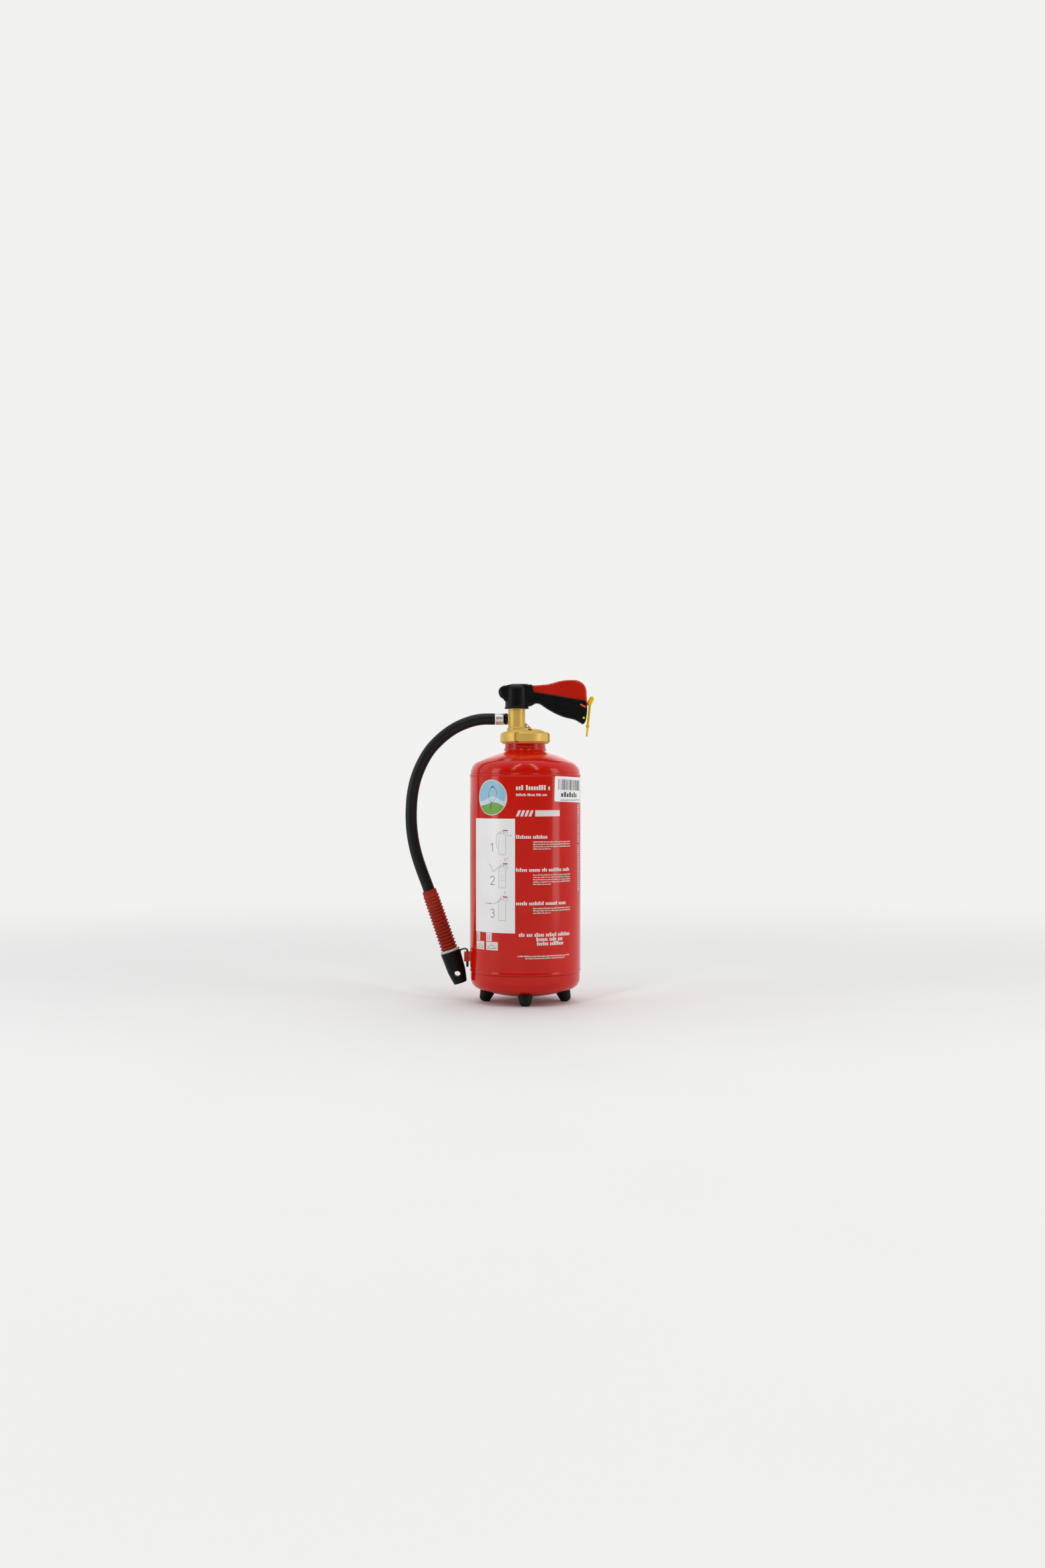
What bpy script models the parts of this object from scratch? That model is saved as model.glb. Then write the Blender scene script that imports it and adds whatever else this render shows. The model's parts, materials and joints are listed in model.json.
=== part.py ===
"""Fire extinguisher with a side-mounted hose, modelled as an assembly of separate pieces.

The sizes are in millimetres, measured from the container's axis (x, y) and from the floor (z);
the meshes are built in metres. The front is -Y, and the hose hangs on the -X side. Everything
is parented to one empty, which moves the container's axis so that the origin is at the middle
of the object's footprint.
"""

import math

import bmesh
import bpy
from mathutils import Matrix, Vector

SCALE = 0.001           # millimetres to metres
WELD = 1e-6             # metres
SEAL = 0.004            # slivers narrower than this are closed after the Booleans
TAU = math.tau

# Clearances
JOINT_GAP = 0.3         # between pieces that touch
PIN_CLEARANCE = 0.05    # radial, pin in its holes
DRILL_DEPTH = 40.0      # of a cutter that runs out of its piece

# Facets around a turned piece
FACETS_BODY = 40
FACETS_LARGE = 32
FACETS_MEDIUM = 24
FACETS_SMALL = 16

# Container
BODY_R = 95.0
BODY_WALL = 1.6
BASE_CLEARANCE = 9.3    # of the base above the floor
BODY_TOP = 391.4
SEAM_BEAD = 0.5         # how far the rolled seams stand out
SEAM_BEAD_H = 4.0
DOME_STEP = 0.8         # the domes' skirts are this much smaller than the body
JOGGLE_DEPTH = 8.0
TOP_KNUCKLE_R = 24.0
TOP_CROWN_R = 165.0
BOTTOM_KNUCKLE_R = 20.0
BOTTOM_CROWN_R = 250.0
BOTTOM_SKIRT = 10.5
BOTTOM_REACH = BODY_R - DOME_STEP - BOTTOM_KNUCKLE_R
BOTTOM_DROP = math.sqrt((BOTTOM_CROWN_R - BOTTOM_KNUCKLE_R) ** 2 - BOTTOM_REACH ** 2)
BODY_BOTTOM = BASE_CLEARANCE + BOTTOM_CROWN_R - BOTTOM_DROP + BOTTOM_SKIRT + JOINT_GAP

# Neck, nut and valve
NECK_R = 34.8
NECK_BORE_R = 29.3
NECK_FILLET = 6.0
NECK_LIP_T = BODY_WALL * 0.6
NECK_FOOT_R = NECK_R + JOINT_GAP + NECK_LIP_T + NECK_FILLET
THREAD_R = 36.6
COLLAR_TOP = 457.0
NUT_R = 42.9
NUT_BOTTOM = 442.7
NUT_TOP = 463.3
NUT_CHAMFER = 3.8
NUT_LIP = 2.0
NUT_SLOTS = 4
NUT_SLOT_ANGLE = -21.0  # of the first slot, from the front towards +X
NUT_SLOT_W = 6.4
NUT_SLOT_DEPTH = 3.0
GASKET_T = 1.4
FLANGE_R = 36.0
VALVE_BASE_R = 32.8
SPIGOT_BOTTOM = 440.0
TOWER_X = -14.7
TOWER_R = 14.7
TOWER_TOP = 514.7
BASE_DOME_TOP = 470.0
WEB_REACH = 10.2
WEB_TOP = 480.0
WEB_T = 3.0
WEB_HOLE_R = 1.3

# Heights from here up are given for a shoulder that meets the neck at HEAD_DATUM; HEAD_RISE moves
# everything above the shoulder when the body's size moves it.
HEAD_DATUM = 428.667
SHOULDER_REACH = BODY_R - DOME_STEP - TOP_KNUCKLE_R
SHOULDER_DROP = math.sqrt((TOP_CROWN_R - TOP_KNUCKLE_R) ** 2 - SHOULDER_REACH ** 2)
HEAD_RISE = BODY_TOP + math.sqrt(TOP_CROWN_R ** 2 - NECK_FOOT_R ** 2) - SHOULDER_DROP - HEAD_DATUM

# Hose side
OUTLET_Z = 485.5
OUTLET_BORE_R = 6.0
BOSS_R = 10.2
NIPPLE_COLLAR_R = 9.9
NIPPLE_GROOVE_R = 8.6
NIPPLE_END = -37.5
FERRULE_R = 10.2
FERRULE_END = -51.3
HOSE_R = 9.9
HOSE_POINTS = (
    (-52.0, 485.5), (-75.4, 485.0), (-95.2, 480.8), (-117.2, 471.8), (-135.8, 459.8),
    (-154.0, 443.6), (-168.3, 426.0), (-180.9, 402.6), (-189.6, 378.5), (-194.6, 353.0),
    (-196.4, 325.3), (-195.6, 299.0), (-192.0, 273.0), (-186.2, 249.0), (-177.5, 223.0),
    (-165.9, 191.9), (-148.0, 139.6), (-131.2, 90.4),
)
HOSE_STEP = 20.0
GRIP_TOP = (-BODY_R - 70.7, 190.7)
GRIP_BOTTOM = (-BODY_R - 35.5, 89.2)
GRIP_RIBS = 17
GRIP_CUFF = 8.0
GRIP_ROOT_R = 12.2
GRIP_RIB_TOP_R = 13.8
GRIP_RIB_BOTTOM_R = 15.3
RING_T = 4.2
RING_R = 17.0
NOZZLE_TIP = (-BODY_R - 16.3, 31.4)
NOZZLE_TOP_R = 17.3
NOZZLE_WAIST_R = 15.6
NOZZLE_TIP_R = 11.1
NOZZLE_WAIST = 0.58     # share of the nozzle's length above the waist
NOZZLE_BORE_R = 8.0
NOZZLE_BORE_DEPTH = 36.0
AIR_HOLE_R = 5.3
AIR_HOLE_FROM_TIP = 17.0
JET_T = 4.0
JET_R = 2.2
TONGUE_T = 4.0
TONGUE_W = 9.0
TONGUE_X = -BODY_R - 4.6
TONGUE_END = 59.2
STRAP_TOP = 91.0
HOLDER_OUT = -BODY_R - 10.1
HOLDER_W = 16.0
HOLDER_BOTTOM = 68.6
HOLDER_TOP = 85.5
HOLDER_SLOT_GAP = 0.5

# Feet
FOOT_COUNT = 4
FOOT_INSET = 24.0       # of the feet's tips from the body's radius
FOOT_RADIUS = BODY_R - FOOT_INSET
FOOT_SPLAY = 18.9       # degrees from the vertical
FOOT_LENGTH = 18.0
FOOT_TOP_R = 12.6
FOOT_TIP_R = 8.6
FOOT_FLAT_R = 4.0
STUD_R = 4.6
STUD_REACH = 10.0

# Head cover
COVER_R = 19.75
COVER_WALL = 1.6
COVER_SKIRT = 503.0
COVER_FLANGE_R = 21.0
COVER_FLANGE_H = 3.0
COVER_DOME_Z = 526.6
HOOD_HALF = 13.0        # half width of the nose and the hood
HOOD_END = 14.8
HOOD_TOP = 545.2
PIVOT_X = -37.0
PIVOT_Z = 530.0
NOSE_R = 8.8

# Handle, lever and what is between them
HANDLE_HALF = 13.6
HANDLE_WALL = 2.1
LEVER_HALF = 11.0
LEVER_WALL = 1.8
LEVER_SKIRT = 6.0       # how far the lever reaches down into the handle
LEVER_ROUND = 3.0
LEVER_START = 13.4
LEVER_TOP = (
    (13.4, 543.2), (30.5, 544.3), (42.9, 546.3), (57.6, 550.3), (68.5, 552.1), (79.6, 552.6),
    (87.6, 552.4), (94.3, 550.0), (100.1, 545.9), (103.7, 540.8), (105.3, 534.9), (106.1, 523.2),
)
LEVER_REAR = (106.5, 509.5)
HANDLE_TOP_LEFT = (15.1, 532.0)
HANDLE_TOP_RIGHT = (102.5, 517.2)
HANDLE_REAR = ((106.3, 508.5), (106.5, 499.8), (105.5, 490.9), (104.1, 482.9), (101.5, 477.7))
HANDLE_UNDER = (
    (99.0, 476.4), (92.8, 480.1), (86.9, 483.6), (79.6, 485.7), (64.9, 489.5), (50.3, 495.7),
    (35.6, 504.1), (28.3, 509.3), (23.2, 511.8), (15.1, 512.4),
)
ARM_GAP = 1.6           # between the arm and the lever's walls
ARM_HALF = LEVER_HALF - LEVER_WALL - ARM_GAP
EAR_GAP = 0.4           # between the arm and the bracket's ears
ARM_HUB_R = 5.0
ARM_END = (62.0, 537.5)
ARM_END_R = 3.5
PIN_R = 2.0
BRACKET_T = 2.0
BRACKET_HALF = ARM_HALF + EAR_GAP + BRACKET_T
BRACKET_END = 24.0
SCREW_X = 19.5
SCREW_R = 1.9
SCREW_HEAD_R = 3.4
SEAL_RIVET = (100.3, 487.1)
RIVET_R = 2.0
INLAY = (99.2, 507.9)
INLAY_LENGTH = 11.6
INLAY_H = 2.9
INLAY_SLOPE = -28.0
INLAY_T = 0.7
TONGUE_SLOT_W = 9.0     # slot in the lever's rear wall for the safety clip
SAFETY_BIT = ((101.5, 513.4), (109.5, 515.6))
SAFETY_BIT_HALF = 3.0
KNOB_CENTRE = (112.5, 516.3)
KNOB_LENGTH = 17.5
KNOB_WIDTH = 8.2
KNOB_TILT = 27.0        # degrees from the vertical, top towards +X
STRAP_T = 2.4
STRAP_OUTLINE = (
    (109.6, 514.0), (113.6, 514.0), (110.4, 473.5), (109.2, 470.5), (107.6, 470.5), (107.2, 455.2),
    (104.4, 455.2), (104.6, 470.5), (104.2, 471.2), (104.6, 473.5), (106.2, 476.5),
)

# Valve train
ROD_R = 3.0
ROD_HEAD_R = 4.0
ROD_COLLAR_R = 6.6
ROD_TIP_R = 1.2
ROD_TIP_LENGTH = 5.0
ROD_TRAVEL = 2.6        # how far the lever can press the rod
SPRING_POCKET_R = 7.6
SPRING_POCKET_FLOOR = 503.0
SEAL_POCKET_R = 5.8
SEAL_POCKET_H = 5.0
SPRING_TURNS = 5
SPRING_WIRE_R = 0.7
CARTRIDGE_R = 14.0
CARTRIDGE_LENGTH = 200.0
CARTRIDGE_NECK_R = 8.0
CARTRIDGE_NECK_H = 14.0
CARTRIDGE_WALL = 2.2
CARTRIDGE_SEAL_T = 0.8
DIP_X = 13.0
DIP_R = 6.0
DIP_BOTTOM = 24.0
TUBE_WALL = 1.2
DIP_SOCKET = 16.0
GAS_Y = 19.0
GAS_R = 3.0
GAS_BOTTOM = 330.0
GAS_SOCKET = 12.0

# Labels, as angles from the front towards +X
LABEL_T = 0.3
PANEL_ANGLES = (-61.3, -10.4)
PANEL_Z = (124.5, 315.7)
STICKER_ANGLE = -36.7
STICKER_Z = 351.0
STICKER_R = 30.0
TAG_ANGLES = (31.0, 81.0)
TAG_Z = (346.0, 386.0)

# The origin is the middle of the footprint, from the nozzle holder to the safety clip.
KNOB_REACH = (KNOB_LENGTH - KNOB_WIDTH) / 2 * math.sin(math.radians(KNOB_TILT)) + KNOB_WIDTH / 2
AXIS_X = -(HOLDER_OUT + KNOB_CENTRE[0] + KNOB_REACH) / 2


# --- Scene, materials and objects -------------------------------------------------------------

def clear_scene():
    """Remove what the scene holds."""
    for item in list(bpy.data.objects):
        bpy.data.objects.remove(item, do_unlink=True)


def make_material(name, colour, roughness, metallic=0.0):
    """One Principled material."""
    material = bpy.data.materials.new(name)
    material.use_nodes = True
    shader = material.node_tree.nodes["Principled BSDF"]
    shader.inputs["Base Color"].default_value = (*colour, 1.0)
    shader.inputs["Roughness"].default_value = roughness
    shader.inputs["Metallic"].default_value = metallic
    material.diffuse_color = (*colour, 1.0)
    return material


def make_empty(name, location, parent=None):
    """An empty, at a place given in millimetres from its parent."""
    empty = bpy.data.objects.new(name, None)
    empty.empty_display_size = 0.02
    empty.location = Vector(location) * SCALE
    empty.parent = parent
    bpy.context.scene.collection.objects.link(empty)
    return empty


class Assembly:
    """Adds pieces under one empty; a moving group has an empty of its own on its joint's axis.

    Every shape is lifted by rise, in millimetres, as it is added.
    """

    def __init__(self, root):
        self.root = root
        self.pivots = {}
        self.rise = 0.0

    def material(self, piece, kind):
        """The piece's own material, in one of the named finishes."""
        colour, roughness, metallic = FINISHES[kind]
        return make_material(f"{piece}_{kind}", colour, roughness, metallic)

    def add_pivot(self, name, place):
        """An empty on a joint's axis."""
        self.pivots[name] = (make_empty(name, place, self.root), Vector(place))

    def add(self, name, mesh, kind, pivot=None):
        """Turn a bmesh in millimetres into an object, about its pivot if it moves."""
        parent, origin = self.pivots[pivot] if pivot else (self.root, Vector())
        bmesh.ops.translate(mesh, verts=mesh.verts, vec=Vector((0, 0, self.rise)) - origin)
        bmesh.ops.scale(mesh, verts=mesh.verts, vec=(SCALE, SCALE, SCALE))
        bmesh.ops.remove_doubles(mesh, verts=mesh.verts, dist=WELD)
        bmesh.ops.recalc_face_normals(mesh, faces=mesh.faces)
        data = bpy.data.meshes.new(name)
        mesh.to_mesh(data)
        mesh.free()
        data.shade_smooth()
        data.set_sharp_from_angle(angle=math.radians(35))
        item = bpy.data.objects.new(name, data)
        item.parent = parent
        item.data.materials.append(self.material(name, kind))
        bpy.context.scene.collection.objects.link(item)
        return item

    def modify(self, target, name, mesh, operation, pivot=None):
        """Cut or join a shape with a Boolean; the cutter stays as a hidden guide."""
        cutter = self.add(name, mesh, "guide", pivot)
        cutter.hide_render = True
        cutter.display_type = "WIRE"
        boolean = target.modifiers.new(name, "BOOLEAN")
        boolean.operation = operation
        boolean.object = cutter
        boolean.solver = "EXACT"

    def seal(self):
        """Weld the slivers that Booleans leave, after the last Boolean of each piece."""
        for item in bpy.data.objects:
            if item.modifiers and item.modifiers[-1].type == "BOOLEAN":
                weld = item.modifiers.new("seal", "WELD")
                weld.merge_threshold = SEAL * SCALE


FINISHES = {
    "red_paint": ((0.55, 0.012, 0.004), 0.22, 0.0),
    "red_plastic": ((0.50, 0.018, 0.008), 0.28, 0.0),
    "black_plastic": ((0.012, 0.013, 0.015), 0.42, 0.0),
    "black_rubber": ((0.014, 0.014, 0.015), 0.62, 0.0),
    "brass": ((0.62, 0.42, 0.10), 0.38, 0.85),
    "aluminium": ((0.72, 0.70, 0.67), 0.32, 1.0),
    "steel": ((0.45, 0.45, 0.46), 0.35, 1.0),
    "yellow_plastic": ((0.95, 0.62, 0.0), 0.4, 0.0),
    "orange_plastic": ((0.85, 0.12, 0.015), 0.4, 0.0),
    "grip_rubber": ((0.42, 0.045, 0.012), 0.6, 0.0),
    "white_plastic": ((0.70, 0.70, 0.64), 0.45, 0.0),
    "label_film": ((0.83, 0.83, 0.83), 0.35, 0.0),
    "guide": ((0.2, 0.8, 0.2), 0.5, 0.0),
}


# --- Shapes -----------------------------------------------------------------------------------

def arc(centre, radius, start, end, steps):
    """Points on an arc in a plane, between two angles in degrees."""
    turns = [math.radians(start + (end - start) * i / steps) for i in range(steps + 1)]
    return [(centre[0] + radius * math.cos(t), centre[1] + radius * math.sin(t)) for t in turns]


def smooth_curve(points, parts):
    """A Catmull-Rom curve through chosen points, with some parts between each two."""
    ends = [2 * Vector(points[0]) - Vector(points[1])]
    ends += [Vector(p) for p in points]
    ends.append(2 * Vector(points[-1]) - Vector(points[-2]))
    curve = []
    for before, start, end, after in zip(ends, ends[1:], ends[2:], ends[3:]):
        for i in range(parts):
            t = i / parts
            pull = start * 2 + (end - before) * t
            pull += (before * 2 - start * 5 + end * 4 - after) * t * t
            pull += (start * 3 - before - end * 3 + after) * t ** 3
            curve.append(tuple(pull / 2))
    curve.append(tuple(ends[-2]))
    return curve


def lathe(profile, segments=FACETS_MEDIUM, frame=None):
    """A solid turned about Z from a closed loop of (radius, height) points, outer side upwards."""
    mesh = bmesh.new()
    verts = [mesh.verts.new((r, 0, z)) for r, z in profile]
    pairs = zip(verts, verts[1:] + verts[:1])
    edges = [mesh.edges.new(p) for p in pairs if p[0].co.x > 0 or p[1].co.x > 0]
    bmesh.ops.spin(mesh, geom=verts + edges, cent=(0, 0, 0), axis=(0, 0, 1), angle=TAU,
                   steps=segments, use_merge=True, use_duplicate=False)
    bmesh.ops.remove_doubles(mesh, verts=mesh.verts, dist=1e-4)
    bmesh.ops.recalc_face_normals(mesh, faces=mesh.faces)
    if frame is not None:
        bmesh.ops.transform(mesh, matrix=frame, verts=mesh.verts)
    return mesh


def tube_profile(outer, inner, bottom, top):
    """The profile of a plain ring or tube."""
    return [(outer, bottom), (outer, top), (inner, top), (inner, bottom)]


def rod_profile(radius, bottom, top):
    """The profile of a solid rod."""
    return [(0, bottom), (radius, bottom), (radius, top), (0, top)]


def prism(outline, y_low, y_high, rounding=0.0, round_steps=2):
    """A prism of an (x, z) outline between two y planes, with its rims rounded."""
    mesh = bmesh.new()
    base = mesh.faces.new([mesh.verts.new((x, y_low, z)) for x, z in outline])
    swept = bmesh.ops.extrude_face_region(mesh, geom=[base])["geom"]
    moved = [v for v in swept if isinstance(v, bmesh.types.BMVert)]
    bmesh.ops.translate(mesh, verts=moved, vec=(0, y_high - y_low, 0))
    bmesh.ops.recalc_face_normals(mesh, faces=mesh.faces)
    if rounding:
        caps = [e for e in mesh.edges if abs(e.verts[0].co.y - e.verts[1].co.y) < WELD]
        bmesh.ops.bevel(mesh, geom=caps, offset=rounding, segments=round_steps, profile=0.5,
                        affect="EDGES", clamp_overlap=True)
    return mesh


def box(low, high):
    """A box between two corners."""
    outline = [(low[0], low[2]), (high[0], low[2]), (high[0], high[2]), (low[0], high[2])]
    return prism(outline, low[1], high[1])


def frame_along(start, direction, roll=0.0):
    """A frame at a point with its Z along a direction, rolled about it by some degrees."""
    turn = Vector((0, 0, 1)).rotation_difference(Vector(direction)).to_matrix().to_4x4()
    return Matrix.Translation(Vector(start)) @ turn @ Matrix.Rotation(math.radians(roll), 4, "Z")


def rounded_slot(length, width, steps=5):
    """The outline of a pill shape along X."""
    reach = (length - width) / 2
    return (arc((reach, 0), width / 2, -90, 90, steps)
            + arc((-reach, 0), width / 2, 90, 270, steps))


def turned_outline(outline, centre, degrees):
    """An outline turned and moved in its plane."""
    c, s = math.cos(math.radians(degrees)), math.sin(math.radians(degrees))
    return [(centre[0] + x * c - z * s, centre[1] + x * s + z * c) for x, z in outline]


# --- Container --------------------------------------------------------------------------------

def dish(radius, knuckle, crown, end_r, steps):
    """The outside of a dished end as (radius, rise) points, from its skirt to a radius."""
    centre_r = radius - knuckle
    drop = math.sqrt((crown - knuckle) ** 2 - centre_r ** 2)
    tangent = math.degrees(math.acos(centre_r / (crown - knuckle)))
    last = math.degrees(math.acos(end_r / crown))
    return arc((centre_r, 0), knuckle, 0, tangent, steps) + \
        arc((0, -drop), crown, tangent, last, steps)[1:]


def make_jacket(kit):
    """The body's sheet with a rolled seam at each end."""
    bead = BODY_R + SEAM_BEAD
    inner = BODY_R - BODY_WALL
    profile = [
        (bead, BODY_BOTTOM), (bead, BODY_BOTTOM + SEAM_BEAD_H / 2),
        (BODY_R, BODY_BOTTOM + SEAM_BEAD_H), (BODY_R, BODY_TOP - SEAM_BEAD_H),
        (bead, BODY_TOP - SEAM_BEAD_H / 2), (bead, BODY_TOP), (inner, BODY_TOP),
        (inner, BODY_BOTTOM),
    ]
    kit.add("container_jacket", lathe(profile, FACETS_BODY), "red_paint")


def dome_profile(knuckle, crown, end_r, skirt):
    """A dished shell's profile, rising from the seam at 0, with its joggle below the seam."""
    outer_r = BODY_R - DOME_STEP
    joggle_r = BODY_R - BODY_WALL - JOINT_GAP
    outer = [(r, skirt + z) for r, z in dish(outer_r, knuckle, crown, end_r, 4)]
    inner = [(r, skirt + z) for r, z in
             dish(outer_r - BODY_WALL, knuckle - BODY_WALL, crown - BODY_WALL, end_r, 3)]
    rim = [(outer_r, 0.0)] if skirt else []
    foot = [(joggle_r, -JOGGLE_DEPTH), (joggle_r, 0.0)]
    inside = [(joggle_r - BODY_WALL, -BODY_WALL), (joggle_r - BODY_WALL, -JOGGLE_DEPTH)]
    return foot + rim + outer, inner[::-1] + inside


def make_top_dome(kit):
    """The shoulder, with a raised lip around the neck."""
    seam = BODY_TOP + JOINT_GAP
    lip_in = NECK_R + JOINT_GAP
    lip_out = lip_in + NECK_LIP_T
    outer, inner = dome_profile(TOP_KNUCKLE_R, TOP_CROWN_R, lip_out + NECK_FILLET, 0.0)
    crown_end = outer[-1][1]
    fillet = arc((lip_out + NECK_FILLET, crown_end + NECK_FILLET), NECK_FILLET, 270, 180, 3)
    inner[0] = (lip_in, inner[0][1])
    profile = [(r, seam + z) for r, z in outer + fillet[1:] + [(lip_in, fillet[-1][1])] + inner]
    kit.add("top_dome", lathe(profile, FACETS_BODY), "red_paint")
    return seam + fillet[-1][1]


def make_bottom_dome(kit):
    """The base, dished outwards and closed at the pole."""
    seam = BODY_BOTTOM - JOINT_GAP
    outer, inner = dome_profile(BOTTOM_KNUCKLE_R, BOTTOM_CROWN_R, 0.0, BOTTOM_SKIRT)
    profile = [(max(r, 0.0) if r > 1e-3 else 0.0, seam - z) for r, z in outer + inner]
    kit.add("bottom_dome", lathe(profile, FACETS_BODY), "red_paint")


def foot_frame(turn):
    """A foot's frame: its origin at the tip, Z along its axis into the container."""
    splay = math.radians(FOOT_SPLAY)
    out = Vector((math.cos(turn), math.sin(turn), 0))
    axis = -out * math.sin(splay) + Vector((0, 0, 1)) * math.cos(splay)
    return frame_along(out * FOOT_RADIUS, axis)


def make_feet(kit):
    """Four rubber caps on studs that are welded to the base."""
    names = ("right", "back", "left", "front")
    stud_top = FOOT_LENGTH + 14.0
    cap_top = FOOT_LENGTH
    hole_bottom = cap_top - STUD_REACH
    rounding = arc((FOOT_FLAT_R, FOOT_TIP_R - FOOT_FLAT_R), FOOT_TIP_R - FOOT_FLAT_R, 270, 360, 3)
    for index, name in enumerate(names):
        frame = foot_frame(TAU * index / FOOT_COUNT)
        cap = [(0, 0)] + rounding + [
            (FOOT_TOP_R, cap_top), (STUD_R + JOINT_GAP, cap_top),
            (STUD_R + JOINT_GAP, hole_bottom), (0, hole_bottom),
        ]
        mesh = lathe(cap, FACETS_SMALL, frame)
        foot = kit.add(f"foot_cap_{name}", mesh, "black_rubber")
        flat = box((-FOOT_TOP_R * 9, -FOOT_TOP_R * 9, -30), (FOOT_TOP_R * 9, FOOT_TOP_R * 9, 0))
        kit.modify(foot, f"cut_foot_flat_{name}", flat, "DIFFERENCE")
        stud = [
            (0, hole_bottom + JOINT_GAP), (STUD_R, hole_bottom + JOINT_GAP),
            (STUD_R, cap_top + JOINT_GAP), (FOOT_TOP_R - 0.6, cap_top + JOINT_GAP),
            (FOOT_TOP_R + 1.4, stud_top), (0, stud_top),
        ]
        boss = kit.add(f"foot_stud_{name}", lathe(stud, FACETS_SMALL, frame), "red_paint")
        kit.modify(boss, f"cut_stud_{name}", dome_clearance(), "DIFFERENCE")


def dome_clearance():
    """The base's outside, grown by the gap, as a solid that trims the studs."""
    seam = BODY_BOTTOM - JOINT_GAP
    outer_r = BODY_R - DOME_STEP + JOINT_GAP
    dished = dish(outer_r, BOTTOM_KNUCKLE_R + JOINT_GAP, BOTTOM_CROWN_R + JOINT_GAP, 0.0, 12)
    profile = [(0, seam), (outer_r, seam)]
    profile += [(r if r > 1e-3 else 0.0, seam - BOTTOM_SKIRT - z) for r, z in dished]
    return lathe(profile, 3 * FACETS_LARGE)


def make_neck(kit, lip_top):
    """The threaded collar in the shoulder and the gasket on it."""
    seat = lip_top - NECK_FILLET - BODY_WALL - 1.0
    profile = [
        (NECK_R, seat), (NECK_R, NUT_BOTTOM - JOINT_GAP), (THREAD_R, NUT_BOTTOM + 1.0),
        (THREAD_R, COLLAR_TOP), (NECK_BORE_R, COLLAR_TOP), (NECK_BORE_R, seat - 5.0),
        (NECK_R + 3.0, seat - 5.0), (NECK_R + 3.0, seat - 1.0),
    ]
    kit.add("neck_collar", lathe(profile, FACETS_LARGE), "red_paint")
    low = COLLAR_TOP + JOINT_GAP
    kit.add("neck_gasket", lathe(tube_profile(FLANGE_R - 0.5, NECK_BORE_R, low, low + GASKET_T),
                               FACETS_MEDIUM), "black_rubber")


def make_holder(kit):
    """The lug on the body's side that the nozzle's tongue drops into."""
    inner_x = -(BODY_R + JOINT_GAP)
    half = HOLDER_W / 2
    mesh = box((HOLDER_OUT, -half, HOLDER_BOTTOM), (inner_x, half, HOLDER_TOP))
    edges = [e for e in mesh.edges if max(v.co.x for v in e.verts) < HOLDER_OUT + 0.1]
    bmesh.ops.bevel(mesh, geom=edges, offset=1.2, segments=2, profile=0.5, affect="EDGES")
    holder = kit.add("nozzle_holder", mesh, "red_paint")
    slot_half = (TONGUE_T / 2 + HOLDER_SLOT_GAP, TONGUE_W / 2 + HOLDER_SLOT_GAP)
    slot = box((TONGUE_X - slot_half[0], -slot_half[1], HOLDER_BOTTOM - 5),
               (TONGUE_X + slot_half[0], slot_half[1], HOLDER_TOP + 5))
    kit.modify(holder, "cut_holder_slot", slot, "DIFFERENCE")


# --- Nut and valve ----------------------------------------------------------------------------

def make_nut(kit):
    """The union nut, chamfered, with slots for a hook spanner."""
    lip_low = NUT_TOP - NUT_LIP
    profile = [
        (THREAD_R + 0.4, NUT_BOTTOM), (NUT_R - NUT_CHAMFER, NUT_BOTTOM),
        (NUT_R, NUT_BOTTOM + NUT_CHAMFER), (NUT_R, NUT_TOP - NUT_CHAMFER),
        (NUT_R - NUT_CHAMFER, NUT_TOP), (VALVE_BASE_R + 0.4, NUT_TOP),
        (VALVE_BASE_R + 0.4, lip_low), (THREAD_R + 0.4, lip_low),
    ]
    nut = kit.add("union_nut", lathe(profile, FACETS_BODY), "brass")
    for index in range(NUT_SLOTS):
        turn = math.radians(NUT_SLOT_ANGLE + 360.0 * index / NUT_SLOTS)
        slot = box((-NUT_SLOT_W / 2, -NUT_R - 5, NUT_BOTTOM - 3),
                   (NUT_SLOT_W / 2, -NUT_R + NUT_SLOT_DEPTH, lip_low))
        bmesh.ops.rotate(slot, verts=slot.verts, cent=(0, 0, 0), matrix=Matrix.Rotation(turn, 3, "Z"))
        kit.modify(nut, f"cut_nut_slot_{index + 1}", slot, "DIFFERENCE")


def tower_frame(z=0.0):
    """A frame on the valve tower's axis."""
    return Matrix.Translation((TOWER_X, 0, z))


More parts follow.
